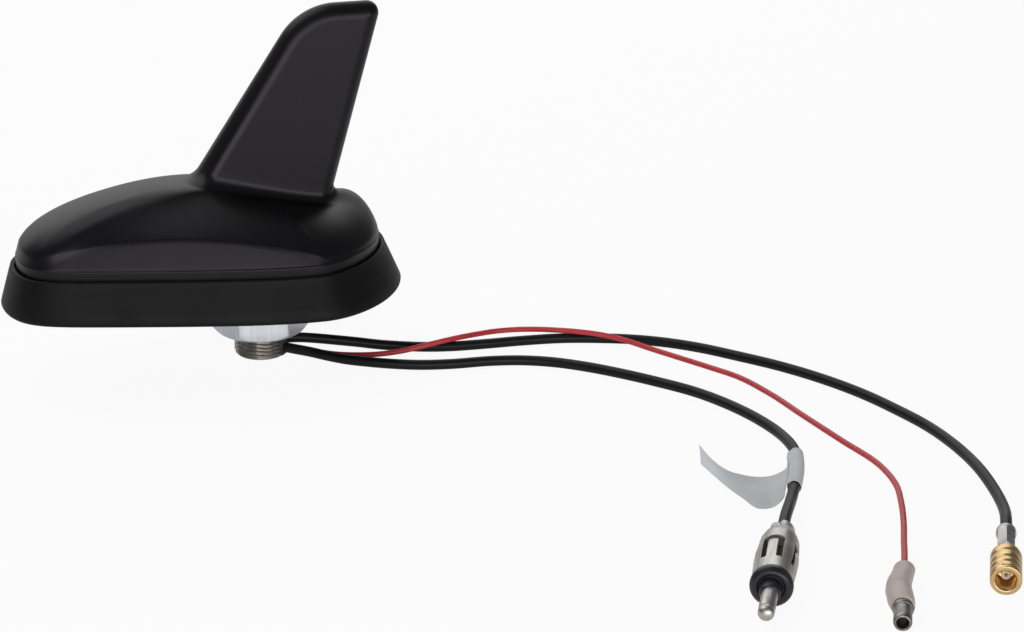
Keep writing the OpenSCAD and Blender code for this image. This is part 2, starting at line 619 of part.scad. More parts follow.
function flag_strip(q) =
    flag_sheet([q[0], (q[0] + q[1]) / 2 + [0, 0, flag_bow], q[1]], [for (i = [0 : 2]) [0, 0, 1]]);
module lead_flag() {
    p = lift(radio_route);
    color([0.86, 0.87, 0.88]) loft(concat([for (a = [180 : 31 : 360 + flag_rise]) flag_wrap(p, a)],
        [for (q = flag_stations) flag_strip(lift(q))]));
}

// Places a connector with its axis along +X at the end of its lead
module at_connector(place, angle, height) {
    translate([place.x, place.y, surface + height]) rotate([0, 0, angle]) rotate([0, 90, 0]) children();
}
plug_wall = 0.45;
tongue_width = 2.2;
slot_cut = 1.1;
tongue_start = 12.5;
tongue_length = 9.5;
leaf_turn = 10;
module tongue_cut() {
    span = tongue_width + 2 * slot_cut;
    for (s = [-1, 1]) translate([2, s * (tongue_width + slot_cut) / 2 - slot_cut / 2, 0])
        cube([4, slot_cut, tongue_length]);
    translate([2, -span / 2, 0]) cube([4, span, slot_cut]);
}
module radio_plug_barrel() {
    tail = 2.8;
    peak = plug_radius + plug_bulge;
    outside = [[tail, 0], [tail, 1.5], [plug_radius - 0.6, 5], [plug_radius, 10], [peak, 16], [plug_radius, plug_length]];
    inside = [[plug_radius - plug_wall, plug_length], [peak - plug_wall, 16], [plug_radius - plug_wall, 10],
        [plug_radius - 0.6 - plug_wall, 5.3], [tail - plug_wall, 2], [0, 2], [0, 0]];
    color([0.68, 0.66, 0.64]) at_connector(radio_place, radio_angle, radio_axis) difference() {
        rotate_extrude() polygon(concat(outside, inside));
        for (i = [0 : 3]) rotate(90 * i + leaf_turn) translate([0, 0, tongue_start]) tongue_cut();
    }
}
collar_thickness = 2.4;
collar_boss = 3;
pin_root = pin_radius - 0.5;
module radio_plug_collar() {
    core = plug_radius - plug_wall - close_fit;
    front = plug_length + collar_thickness;
    outline = [[pin_root + close_fit, plug_length - 6], [core - 0.4, plug_length - 6], [core - 0.4, plug_length],
        [collar_radius - 0.4, plug_length], [collar_radius, plug_length + 0.4], [collar_radius, front - 0.8],
        [collar_radius - 0.8, front], [pin_radius + 0.7, front], [pin_radius + 0.5, front + collar_boss],
        [pin_root + close_fit, front + collar_boss]];
    color([0.05, 0.05, 0.06]) at_connector(radio_place, radio_angle, radio_axis)
        rotate_extrude() polygon(outline);
}
module radio_plug_pin() {
    nose = 1.4;
    shoulder = plug_length + collar_thickness + collar_boss;
    tip = plug_length + collar_thickness + pin_length;
    back = plug_length - 10;
    outline = concat([[0, back], [pin_root, back], [pin_root, shoulder], [pin_radius, shoulder],
        [pin_radius, tip - nose]],
        [for (a = [15 : 15 : 75]) [pin_radius * cos(a), tip - nose + nose * sin(a)]], [[0, tip]]);
    color([0.72, 0.7, 0.66]) at_connector(radio_place, radio_angle, radio_axis)
        rotate_extrude() polygon(outline);
}

ferrule_radius = 2.15;
module nav_ferrule() {
    color([0.66, 0.66, 0.68]) at_connector(nav_place, nav_angle, nav_radius) {
        cylinder(r = ferrule_radius, h = 1.5);
        translate([0, 0, 1.5]) cylinder(r = ferrule_radius * 0.98, h = ferrule_length - 3, $fn = 6);
        translate([0, 0, ferrule_length - 1.5]) cylinder(r = ferrule_radius, h = 1.5);
    }
}
mouth_depth = 6;
module nav_body() {
    groove = 0.3;
    grooves = [for (z = [8.9, 5.7, 3.2])
        each [[nav_radius, nav_length - z - 0.5], [nav_radius - groove, nav_length - z - 0.2],
            [nav_radius - groove, nav_length - z + 0.2], [nav_radius, nav_length - z + 0.5]]];
    outline = concat([[0, 0], [ferrule_radius + 0.1, 0], [nav_radius, 1.8]], grooves,
        [[nav_radius, nav_length - 0.2], [nav_radius - 0.2, nav_length],
        [nav_mouth + 0.25, nav_length], [nav_mouth, nav_length - 0.3], [nav_mouth, nav_length - mouth_depth],
        [0, nav_length - mouth_depth]]);
    color([0.86, 0.7, 0.4]) at_connector(nav_place, nav_angle, nav_radius) translate([0, 0, ferrule_length])
        difference() {
            rotate_extrude() polygon(outline);
            for (i = [0 : 3]) rotate(90 * i) translate([nav_radius - 0.5, -1.1, nav_length - 1.3])
                cube([3, 2.2, 0.5]);
        }
}
insulator_radius = 1.05;
contact_radius = 0.4;
module nav_insulator() {
    color([0.92, 0.9, 0.9]) at_connector(nav_place, nav_angle, nav_radius)
        translate([0, 0, ferrule_length + nav_length - mouth_depth]) difference() {
            cylinder(r = insulator_radius, h = mouth_depth - 2.8);
            translate([0, 0, -1]) cylinder(r = contact_radius + close_fit, h = mouth_depth + 2);
        }
}
module nav_contact() {
    depth = mouth_depth - 3;
    color([0.85, 0.68, 0.36]) at_connector(nav_place, nav_angle, nav_radius)
        translate([0, 0, ferrule_length + nav_length - mouth_depth]) difference() {
            cylinder(r = contact_radius, h = depth);
            translate([0, 0, 1]) cylinder(r = contact_radius - 0.15, h = depth);
        }
}

module supply_sleeve() {
    outline = [[0, 0], [sleeve_radius - 0.9, 0], [sleeve_radius - 0.5, 1], [sleeve_radius - 0.4, 4],
        [sleeve_radius - 0.15, 8], [sleeve_radius - 0.1, 11.3], [sleeve_radius, 11.6],
        [sleeve_radius, sleeve_length - 3], [2.4, sleeve_length], [barrel_radius + close_fit, sleeve_length],
        [barrel_radius + close_fit, sleeve_length - 4], [0, sleeve_length - 4]];
    color([0.8, 0.77, 0.75]) at_connector(supply_place, supply_angle, sleeve_radius)
        rotate_extrude() polygon(outline);
}
module supply_barrel() {
    start = sleeve_length - 4;
    tip = sleeve_length + barrel_length;
    bead = 0.3;
    outline = [[0, start], [barrel_radius, start], [barrel_radius, sleeve_length + 0.3],
        [barrel_radius + bead, sleeve_length + 0.6], [barrel_radius + bead, sleeve_length + 1.2],
        [barrel_radius, sleeve_length + 1.5], [barrel_radius, tip - 0.2], [barrel_radius - 0.2, tip],
        [barrel_bore + 0.1, tip], [barrel_bore, tip - 0.1], [barrel_bore, tip - 6.5], [0, tip - 6.5]];
    color([0.66, 0.65, 0.64]) at_connector(supply_place, supply_angle, sleeve_radius)
        rotate_extrude() polygon(outline);
}

cover();
base_seal();
base_plate();
cover_gasket();
cover_screws();
threaded_stud();
cable_grommet();
lock_washer();
hex_nut();
main_board();
board_screws();
screening_can();
ceramic_patch();
patch_feed_pin();
fin_blade();
blade_clip();
inner_leads();
radio_lead();
navigation_lead();
supply_wire();
lead_flag();
radio_plug_barrel();
radio_plug_collar();
radio_plug_pin();
nav_ferrule();
nav_body();
nav_insulator();
nav_contact();
supply_sleeve();
supply_barrel();
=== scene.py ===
"""Shark fin roof aerial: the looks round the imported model.

Shapes are worked out in millimetres, and objects are in metres.
"""

import math

import bmesh
import bpy
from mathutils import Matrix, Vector


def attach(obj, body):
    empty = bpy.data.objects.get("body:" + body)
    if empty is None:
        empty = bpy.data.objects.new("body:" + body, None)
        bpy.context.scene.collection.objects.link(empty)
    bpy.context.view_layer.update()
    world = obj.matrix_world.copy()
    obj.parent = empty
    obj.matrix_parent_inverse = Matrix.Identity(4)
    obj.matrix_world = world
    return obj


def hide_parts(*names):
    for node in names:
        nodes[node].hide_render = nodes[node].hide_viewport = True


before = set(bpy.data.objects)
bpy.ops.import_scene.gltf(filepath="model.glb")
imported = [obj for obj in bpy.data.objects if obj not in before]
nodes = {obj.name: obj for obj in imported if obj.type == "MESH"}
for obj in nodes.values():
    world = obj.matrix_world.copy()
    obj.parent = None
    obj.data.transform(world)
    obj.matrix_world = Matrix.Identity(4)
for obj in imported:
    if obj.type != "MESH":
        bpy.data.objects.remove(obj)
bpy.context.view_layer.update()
MM = 0.001
BODY = "aerial"
SURFACE = -18.5  # the height of the table that the stud and the leads stand on


def cosd(a):
    return math.cos(math.radians(a))


def sind(a):
    return math.sin(math.radians(a))


def tand(a):
    return math.tan(math.radians(a))


def mix(a, b, s):
    return a + (b - a) * s


def clamp(v):
    return min(1.0, max(0.0, v))


def blend(p, q, s):
    """The point at share s of the way from p to q."""
    return tuple(mix(a, b, s) for a, b in zip(p, q))


def link_object(name, data):
    made = bpy.data.objects.new(name, data)
    bpy.context.scene.collection.objects.link(made)
    return made


# ---- Camera: the photograph's view

PHOTO_WIDTH, PHOTO_HEIGHT = 1024, 632
CAMERA_DISTANCE, CAMERA_AZIMUTH, CAMERA_ELEVATION = 650, 11.5, 19
PIXEL_AT_ORIGIN = 0.257  # millimetres that a pixel covers at the camera's distance
ORIGIN_PIXEL = (259.5, 284)
SENSOR_WIDTH = 36


def place_camera():
    """Puts the camera in the fitted direction and turns it to show the origin at its pixel."""
    focal = CAMERA_DISTANCE / PIXEL_AT_ORIGIN
    flat = cosd(CAMERA_ELEVATION)
    back = Vector((-sind(CAMERA_AZIMUTH) * flat, -cosd(CAMERA_AZIMUTH) * flat,
                   sind(CAMERA_ELEVATION)))
    ray = Vector(((ORIGIN_PIXEL[0] - PHOTO_WIDTH / 2) / focal,
                  (PHOTO_HEIGHT / 2 - ORIGIN_PIXEL[1]) / focal, 1)).normalized()
    toward = -back
    pitch = math.asin(toward.z / math.hypot(ray.y, ray.z)) - math.atan2(ray.y, ray.z)
    level = ray.z * math.cos(pitch) - ray.y * math.sin(pitch)
    yaw = math.atan2(toward.y, toward.x) - math.atan2(level, ray.x)
    data = bpy.data.cameras.new("camera")
    data.sensor_width = SENSOR_WIDTH
    data.lens = SENSOR_WIDTH * focal / PHOTO_WIDTH
    data.clip_start, data.clip_end = 0.05, 20
    camera = link_object("camera", data)
    camera.location = back * CAMERA_DISTANCE * MM
    camera.rotation_euler = (math.pi / 2 + pitch, 0, yaw)
    bpy.context.scene.camera = camera


place_camera()


# ---- Materials


class Finish:
    """A node material. Its textures run in the object's own coordinates, which are metres."""

    def __init__(self, name, colour, rough, metal=0.0, **sockets):
        self.name = name
        self.material = bpy.data.materials.new(name)
        self.material.use_nodes = True
        self.tree = self.material.node_tree
        self.shader = self.tree.nodes["Principled BSDF"]
        self.place = self.add("ShaderNodeTexCoord").outputs["Object"]
        self.colour, self.rough = colour, rough
        self.set("Base Color", (*colour, 1))
        self.set("Roughness", rough)
        self.set("Metallic", metal)
        for key, value in sockets.items():
            self.set(key.replace("_", " "), value)

    def add(self, kind, **settings):
        node = self.tree.nodes.new(kind)
        for key, value in settings.items():
            setattr(node, key, value)
        return node

    def set(self, socket, value):
        self.shader.inputs[socket].default_value = value

    def link(self, a, b):
        self.tree.links.new(a, b)

    def noise(self, scale, detail=3.0, stretch=(1, 1, 1), turn=0.0):
        """Noise with scale features a metre, drawn out by stretch along axes turned about Z."""
        mapping = self.add("ShaderNodeMapping", vector_type="TEXTURE")
        mapping.inputs["Rotation"].default_value = (0, 0, math.radians(turn))
        mapping.inputs["Scale"].default_value = stretch
        node = self.add("ShaderNodeTexNoise")
        node.inputs["Scale"].default_value = scale
        node.inputs["Detail"].default_value = detail
        self.link(self.place, mapping.inputs["Vector"])
        self.link(mapping.outputs["Vector"], node.inputs["Vector"])
        return node.outputs["Fac"]

    def roughen(self, value, spread, start=0.3, end=0.7):
        """The roughness runs over spread to both sides as value runs from start to end."""
        node = self.add("ShaderNodeMapRange")
        for key, number in (("From Min", start), ("From Max", end),
                            ("To Min", self.rough - spread), ("To Max", self.rough + spread)):
            node.inputs[key].default_value = number
        self.link(value, node.inputs["Value"])
        self.link(node.outputs["Result"], self.shader.inputs["Roughness"])

    def tint(self, value, other, start=0.3, end=0.7):
        """The base colour runs to other where value is high."""
        ramp = self.add("ShaderNodeValToRGB")
        for element, place, colour in zip(ramp.color_ramp.elements, (start, end),
                                          (self.colour, other)):
            element.position = place
            element.color = (*colour, 1)
        self.link(value, ramp.inputs["Fac"])
        self.link(ramp.outputs["Color"], self.shader.inputs["Base Color"])

    def bump(self, value, depth_mm, strength=0.5):
        node = self.add("ShaderNodeBump")
        node.inputs["Strength"].default_value = strength
        node.inputs["Distance"].default_value = depth_mm * MM
        self.link(value, node.inputs["Height"])
        self.link(node.outputs["Normal"], self.shader.inputs["Normal"])


def plain_finish(name, colour, other, rough, spread, metal=0.0,
                 wear=900, grain=6000, depth=0.004, **sockets):
    """A finish with a slow change of tone and gloss, and a fine grain."""
    made = Finish(name, colour, rough, metal, **sockets)
    made.tint(made.noise(wear), other)
    made.roughen(made.noise(wear * 0.6, 4), spread)
    made.bump(made.noise(grain, 2), depth)
    return made


def brushed_finish(name, colour, other, rough, spread, stretch, scale, turn=0.0):
    """Bright metal with fine lines along the axis that stretch draws out."""
    made = Finish(name, colour, rough, metal=1.0)
    lines = made.noise(scale, 4, stretch, turn)
    made.tint(lines, other, 0.35, 0.65)
    made.roughen(made.noise(scale * 0.4, 3, stretch, turn), spread)
    made.bump(lines, 0.006)
    return made


FINISHES = {made.name: made for made in (
    plain_finish("cover_plastic", (0.0034, 0.0031, 0.0037), (0.0046, 0.0042, 0.0050),
                 0.36, 0.03, wear=60, grain=5200, depth=0.005,
                 Specular_IOR_Level=0.26, Specular_Tint=(1.0, 0.94, 1.0, 1)),
    plain_finish("seal_rubber", (0.0040, 0.0037, 0.0043), (0.0056, 0.0052, 0.0060),
                 0.52, 0.05, wear=90, grain=3800, depth=0.010, Specular_IOR_Level=0.16),
    plain_finish("die_cast", (0.42, 0.43, 0.44), (0.52, 0.53, 0.54),
                 0.46, 0.08, 1.0, wear=300, grain=2600, depth=0.02),
    plain_finish("gasket_rubber", (0.03, 0.03, 0.03), (0.045, 0.045, 0.045),
                 0.8, 0.05, wear=300),
    brushed_finish("plated_steel", (0.68, 0.71, 0.75), (0.78, 0.80, 0.83),
                   0.47, 0.05, (1, 1, 20), 1100),
    brushed_finish("stud_nickel", (0.27, 0.25, 0.225), (0.42, 0.395, 0.365),
                   0.34, 0.08, (5, 5, 0.6), 1200),
    plain_finish("board", (0.015, 0.11, 0.05), (0.02, 0.14, 0.065), 0.35, 0.05, wear=400),
    plain_finish("tin_plate", (0.45, 0.44, 0.43), (0.55, 0.54, 0.53),
                 0.36, 0.08, 1.0, wear=500),
    plain_finish("patch_ceramic", (0.62, 0.55, 0.40), (0.70, 0.62, 0.46),
                 0.5, 0.06, wear=500),
    plain_finish("spring_brass", (0.80, 0.62, 0.28), (0.88, 0.70, 0.36),
                 0.3, 0.08, 1.0, wear=700),
    plain_finish("lead_jacket", (0.0060, 0.0061, 0.0066), (0.0085, 0.0086, 0.0092),
                 0.40, 0.05, wear=180, grain=4200, depth=0.008, Specular_IOR_Level=0.22),
    plain_finish("wire_jacket", (0.56, 0.030, 0.038), (0.64, 0.043, 0.053),
                 0.42, 0.05, wear=220, grain=4600, depth=0.005),
    plain_finish("flag_paper", (0.65, 0.675, 0.69), (0.73, 0.75, 0.765),
                 0.62, 0.05, wear=160, grain=3200, depth=0.010, Specular_IOR_Level=0.3),
    brushed_finish("plug_nickel", (0.44, 0.415, 0.39), (0.58, 0.555, 0.53),
                   0.38, 0.07, (14, 1, 1), 1500, turn=-118),
    plain_finish("barrel_tin", (0.20, 0.185, 0.175), (0.36, 0.34, 0.325),
                 0.42, 0.10, 1.0, grain=2600, depth=0.02),
    plain_finish("collar_plastic", (0.010, 0.010, 0.014), (0.014, 0.014, 0.018),
                 0.36, 0.04, wear=300),
    plain_finish("gold_plate", (0.70, 0.47, 0.19), (0.78, 0.57, 0.30),
                 0.32, 0.06, 1.0, wear=600, grain=3000, depth=0.006),
    plain_finish("white_insulator", (0.62, 0.48, 0.45), (0.70, 0.58, 0.54),
                 0.35, 0.04, wear=500),
    plain_finish("sleeve_plastic", (0.56, 0.46, 0.42), (0.65, 0.56, 0.52),
                 0.40, 0.06, wear=260, grain=1500, depth=0.015,
                 Subsurface_Weight=0.25, Subsurface_Radius=(0.001, 0.0006, 0.0005)),
)}


# ---- Mesh helpers


def make(name, points, faces, finish, replaced, body=BODY, sharp=32):
    """A closed piece that rides on body and stands for the replaced nodes."""
    piece = bare_mesh(name, points, faces, finish, sharp)
    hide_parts(*replaced)
    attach(piece, body)
    return piece


def bare_mesh(name, points, faces, finish, sharp=32):
    """A closed mesh object from points in millimetres, smooth but for edges over sharp degrees."""
    mesh = bpy.data.meshes.new(name)
    mesh.from_pydata([(p[0] * MM, p[1] * MM, p[2] * MM) for p in points], [], faces)
    work = bmesh.new()
    work.from_mesh(mesh)
    bmesh.ops.remove_doubles(work, verts=work.verts, dist=1e-7)
    bmesh.ops.recalc_face_normals(work, faces=work.faces)
    work.to_mesh(mesh)
    work.free()
    mesh.materials.append(FINISHES[finish].material)
    smooth(mesh, sharp)
    return link_object(name, mesh)


def smooth(mesh, sharp):
    mesh.shade_smooth()
    mesh.set_sharp_from_angle(angle=math.radians(sharp))


def ring_faces(count, n, closed=False):
    """Quads between count rings of n points. Closed joins the last ring to the first."""
    made = []
    for j in range(count if closed else count - 1):
        a, b = j * n, ((j + 1) % count) * n
        for i in range(n):
            k = (i + 1) % n
            made.append((a + i, a + k, b + k, b + i))
    return made


def cap_faces(first, n, reverse=False):
    ring = [first + i for i in range(n)]
    return [tuple(reversed(ring)) if reverse else tuple(ring)]


def folded_cap(first, n):
    """A cap of strips across a long narrow ring whose points i and n - i face each other."""
    made = [(first, first + 1, first + n - 1)]
    for i in range(1, n // 2 - 1):
        made.append((first + i, first + i + 1, first + n - i - 1, first + n - i))
    half = n // 2
    made.append((first + half - 1, first + half, first + half + 1))
    return made


def joined(rings):
    return [p for ring in rings for p in ring]


def rounded(outline, radius, steps=3, closed=False):
    """The outline with each corner turned into a small curve."""
    outline = [p for i, p in enumerate(outline) if not i or math.dist(p, outline[i - 1]) > 1e-6]
    made, count = [], len(outline)
    for i, p in enumerate(outline):
        if not closed and i in (0, count - 1):
            made.append(p)
            continue
        q, r = outline[i - 1], outline[(i + 1) % count]
        to_q, to_r = math.dist(p, q), math.dist(p, r)
        trim = min(radius, 0.45 * to_q, 0.45 * to_r)
        a, b = blend(p, q, trim / to_q), blend(p, r, trim / to_r)
        for k in range(steps + 1):
            s = k / steps
            made.append(blend(blend(a, p, s), blend(p, b, s), s))
    return made


def turned(outline, put, n=96, shape=None):
    """Points and faces of an outline of (radius, height) turned about the axis.

    The outline is a closed loop, or starts and ends on the axis.
    """
    points, faces, rings = [], [], []
    on_axis = outline[0][0] < 1e-6
    for r, z in outline:
        if r < 1e-6:
            rings.append([len(points)])
            points.append(put(0, 0, z))
            continue
        rings.append(list(range(len(points), len(points) + n)))
        for i in range(n):
            a = 360 * i / n
            k = shape(a, z) if shape else 1
            points.append(put(r * k * cosd(a), r * k * sind(a), z))
    for j in range(len(rings) - (1 if on_axis else 0)):
        a, b = rings[j], rings[(j + 1) % len(rings)]
        for i in range(n):
            k = (i + 1) % n
            if len(a) == 1 and len(b) == 1:
                break
            if len(a) == 1:
                faces.append((a[0], b[k], b[i]))
            elif len(b) == 1:
                faces.append((a[i], a[k], b[0]))
            else:
                faces.append((a[i], a[k], b[k], b[i]))
    return points, faces


def along(place, angle, height):
    """Maps a connector's own coordinates, with +Z along it and -X upwards, to the part's."""
    def put(x, y, z):
        return (place[0] + z * cosd(angle) - y * sind(angle),
                place[1] + z * sind(angle) + y * cosd(angle), SURFACE + height - x)
    return put


def prism(outline, low, high, put):
    """A flat outline of (y, z) pushed out along x from low to high."""
    n = len(outline)
    points = [put(x, y, z) for x in (low, high) for y, z in outline]
    return points, ring_faces(2, n) + cap_faces(0, n, True) + cap_faces(n, n)


def cut(piece, cutters, sharp=32):
    """Takes the cutters' closed shapes out of the piece's mesh."""
    for points, faces in cutters:
        tool = bare_mesh("cutter", points, faces, "collar_plastic")
        modifier = piece.modifiers.new("cut", "BOOLEAN")
        modifier.operation, modifier.solver, modifier.object = "DIFFERENCE", "EXACT", tool
        graph = bpy.context.evaluated_depsgraph_get()
        mesh = bpy.data.meshes.new_from_object(piece.evaluated_get(graph))
        piece.modifiers.clear()
        mesh.materials.clear()
        mesh.materials.append(piece.data.materials[0])
        piece.data = mesh
        bpy.data.objects.remove(tool)
    smooth(piece.data, sharp)


# ---- Leads: the part's own routes, with heights above the table

COAX, WIRE = 1.3, 0.7  # radii
OVER = 2 * COAX + WIRE + 0.05  # the wire's height where it lies on a lead
OUTLET, SLOT_ANGLE, STRAIGHT = 6, -18, 4.2
RADIO = ((80.2, -151.6), -118, 4.65)
NAVIGATION = ((126.8, -163.8), -118, 3.3)
SUPPLY = ((98.7, -172.4), -116.5, 2.75)
LINE_STEPS, LEAD_SIDES = 5, 20


def exit_points(turn, lean, *heights):
    """The first two points of a route, out through the stud's slot."""
    a, b = SLOT_ANGLE + turn, SLOT_ANGLE + turn + lean
    return [(OUTLET * cosd(a) + reach * cosd(b), OUTLET * sind(a) + reach * sind(b), height)
            for reach, height in zip((0, STRAIGHT), heights)]


def entry_points(connector, back):
    """The last two points of a route, straight into the connector."""
    (x, y), angle, height = connector
    return [(x - d * cosd(angle), y - d * sind(angle), height) for d in (back, 0)]


RADIO_ROUTE = [
    *exit_points(-18, -6, 2.1, 2), (10.6, -8.6, 1.9), (14.2, -11.8, 1.6), (18.5, -15.2, COAX),
    (23.5, -18.7, COAX), (29, -21.9, COAX), (36, -24.9, COAX), (44, -26.6, COAX),
    (53, -27.4, COAX), (61, -29.4, COAX), (68, -32.9, COAX), (75, -38.5, COAX),
    (82, -45.8, COAX), (88.6, -53.9, COAX), (95, -63, COAX), (100, -74, COAX),
    (103.3, -86, COAX), (104.3, -96, COAX + 0.1), (103, -106, COAX + 0.5),
    (99.6, -115.2, COAX + 0.5), (95.2, -124, COAX + 0.7), (90.5, -132.8, COAX + 1.6),
    *entry_points(RADIO, 6),
]
NAVIGATION_ROUTE = [
    *exit_points(18, -14, 3.2, 3.2), (14.5, -2.7, 3), (19, -4.3, 2.6), (24, -6, 2.1),
    (29, -8, 1.6), (34.5, -10.1, COAX), (40, -12.5, COAX), (46.5, -14.2, COAX),
    (55, -15.1, COAX), (66, -15.8, COAX), (76, -17.2, COAX), (85, -20, COAX),
    (93, -23.4, COAX), (100, -27.8, COAX), (107, -34, COAX), (114.5, -43, COAX),
    (122, -53, COAX), (128.5, -64.2, COAX), (133.6, -76, COAX), (137.2, -88.4, COAX),
    (139.8, -101, COAX), (140.5, -114, COAX), (139.7, -126, COAX), (137.3, -138.5, COAX),
    (134, -149.2, COAX + 0.5), *entry_points(NAVIGATION, 5),
]
SUPPLY_ROUTE = [
    *exit_points(-2, -6, WIRE + 0.3, WIRE + 0.3), (13, -6, WIRE + 0.1), (17, -9, WIRE),
    (22, -11.6, 0.8), (28, -13.6, 1.1), (34, -14.6, 1.7), (40, -15, 2.7), (45, -14.8, 3.3),
    (49.5, -13.7, OVER), (54, -12.2, 3.1), (60, -11, 2.9), (65, -11.4, 2.9),
    (70, -13.3, 3.1), (75, -16.3, OVER), (80, -19.2, OVER), (85.5, -22.2, 2.9),
    (90.5, -25.8, 2.1), (95, -30.5, 1.2), (100, -37.4, WIRE), (105, -46.4, WIRE),
    (109.5, -55, WIRE), (112.6, -67.3, WIRE), (114.8, -84, WIRE), (117.2, -101.6, WIRE),
    (119.3, -117, WIRE), (118, -128.6, WIRE), (114.8, -137.9, WIRE), (110.6, -147.8, WIRE),
    (105.8, -157.8, 1.3), *entry_points(SUPPLY, 5),
]


def smooth_line(points, steps=LINE_STEPS):
    """A curve through the points, with steps pieces between each two."""
    made = []
    for i in range(len(points) - 1):
        p1, p2 = Vector(points[i]), Vector(points[i + 1])
        p0 = Vector(points[i - 1]) if i else 2 * p1 - p2
        p3 = Vector(points[i + 2]) if i + 2 < len(points) else 2 * p2 - p1
        a, b, c = (max(1e-6, (q - p).length) for p, q in ((p0, p1), (p1, p2), (p2, p3)))
        m1 = (p2 - p1) + b * ((p1 - p0) / a - (p2 - p0) / (a + b))
        m2 = (p2 - p1) + b * ((p3 - p2) / c - (p3 - p1) / (b + c))
        for k in range(steps):
            s = k / steps
            made.append((2 * s**3 - 3 * s**2 + 1) * p1 + (s**3 - 2 * s**2 + s) * m1
                        + (3 * s**2 - 2 * s**3) * p2 + (s**3 - s**2) * m2)
    made.append(Vector(points[-1]))
    return made


def side_and_up(line, i):
    """The two directions across a line at its point i."""
    heading = (line[min(i + 1, len(line) - 1)] - line[max(i - 1, 0)]).normalized()
    side = Vector((0, 0, 1)).cross(heading).normalized()
    return side, heading.cross(side)


def lead(name, route, radius, finish):
    """A round cord along the route. Returns its middle line."""
    line = [Vector((p.x, p.y, p.z + SURFACE)) for p in smooth_line(route)]
    n, points = LEAD_SIDES, []
    for i, p in enumerate(line):
        side, up = side_and_up(line, i)
        points += [p + radius * (cosd(360 * k / n) * side + sind(360 * k / n) * up)
                   for k in range(n)]
    faces = ring_faces(len(line), n) + cap_faces(0, n, True) + cap_faces((len(line) - 1) * n, n)
    piece = make(name + "_tube", points, faces, finish, (name,), sharp=50)
    length = sum((q - p).length for p, q in zip(line, line[1:])) * MM
    return line


# ---- Connectors


def barrel_slot(turn, put):
    """One U-shaped cut round a spring tongue, which points away from the axis at turn."""
    width, tongue, foot, top, base = 4.4, 2.0, 11.6, 21.8, 13.9
    outer = [(-width / 2, top), (-width / 2, foot), (width / 2, foot), (width / 2, top)]
    inner = [(tongue / 2, top), (tongue / 2, base), (-tongue / 2, base), (-tongue / 2, top)]
    outline = rounded(outer, 1.7, 5) + rounded(inner, 0.5, 5)

    def turned_put(x, y, z):
        return put(x * cosd(turn) - y * sind(turn), x * sind(turn) + y * cosd(turn), z)
    return prism(outline, 2.0, 6.5, turned_put)


def radio_plug():
    put = along(*RADIO)
    tail, radius, bulge, length, wall, seam = 2.8, 4.3, 0.35, 26, 0.45, 200
    peak = radius + bulge
    outside = [(tail - 0.25, 0), (tail, 0.25), (tail, 1.6), (tail + 0.12, 2.6),
               (radius - 0.6, 5.2), (radius - 0.12, 7.6), (radius, 10.2), (radius + 0.12, 12.5),
               (peak - 0.04, 14.8), (peak, 16.2), (peak - 0.06, 18.4), (radius + 0.14, 21.5),
               (radius, 24), (radius, length)]
    inside = [(r - wall, z) for r, z in reversed(outside[6:])]
    inside += [(radius - 0.6 - wall, 5.4), (tail - wall, 2.1), (0, 2)]

    def crimp(a, z):
        """The tail is rolled in from both sides to a seam on top of the plug."""
        pinch, spread, flatten = 0.26, 16, 0.05
        fade = clamp((6.5 - z) / 4)
        off = (a - seam + 180) % 360 - 180
        fold = pinch * math.exp(-(off / spread) ** 2)
        return 1 - fade * (fold + flatten * (1 - cosd(2 * off)) / 2)

    back = [(0, 0.35), (tail - 1.0, 0.35), (tail - 1.0, 0)]
    points, faces = turned(back + rounded(outside, 0.2, 2) + inside, put, 128, crimp)
    barrel = make("plug_barrel", points, faces, "plug_nickel", ("radio_plug_barrel",))
    cut(barrel, [barrel_slot(90 * i + 10, put) for i in range(4)])

    core, front, collar = radius - wall - 0.05, length + 2.4, 4.5
    outline = [(1.25, 20), (core - 0.4, 20), (core - 0.4, length), (collar - 0.4, length),
               (collar, length + 0.4), (collar, front - 0.8), (collar - 0.8, front),
               (2.9, front), (2.6, front - 0.35), (2.45, front - 0.35), (2.3, front + 0.1),
               (2.2, front + 2.5), (1.9, front + 3), (1.25, front + 3)]
    points, faces = turned(rounded(outline, 0.28, 4, True), put, 128)
    make("plug_collar", points, faces, "collar_plastic", ("radio_plug_collar",))

    pin, tip, shoulder, nose = 1.7, front + 12.5, front + 3, 1.4
    shank = tip - nose
    outline = [(0, 16), (1.2, 16), (1.2, shoulder), (pin - 0.12, shoulder),
               (pin, shoulder + 0.12), (pin, shank - 1.5), (pin - 0.16, shank - 1.3),
               (pin - 0.16, shank - 1.0), (pin, shank - 0.8), (pin, shank)]
    outline += [(pin * cosd(a), shank + nose * sind(a)) for a in range(10, 90, 10)] + [(0, tip)]
    points, faces = turned(outline, put)
    make("plug_pin", points, faces, "plug_nickel", ("radio_plug_pin",), sharp=40)


def arc_slit(turn, spread, inner, outer, low, high, put):
    """A closed block that follows a ring round the axis, to cut a slit with."""
    steps = 10
    n, points, faces = steps + 1, [], []
    angles = [turn + mix(-spread, spread, k / steps) for k in range(n)]
    for z in (low, high):
        for r in (inner, outer):
            points += [put(r * cosd(a), r * sind(a), z) for a in angles]
    for k in range(steps):
        faces += [(k, k + 1, n + k + 1, n + k),
                  (2 * n + k, 3 * n + k, 3 * n + k + 1, 2 * n + k + 1),
                  (k, 2 * n + k, 2 * n + k + 1, k + 1),
                  (n + k, n + k + 1, 3 * n + k + 1, 3 * n + k)]
    faces += [(0, n, 3 * n, 2 * n), (steps, 2 * n + steps, 3 * n + steps, n + steps)]
    return points, faces


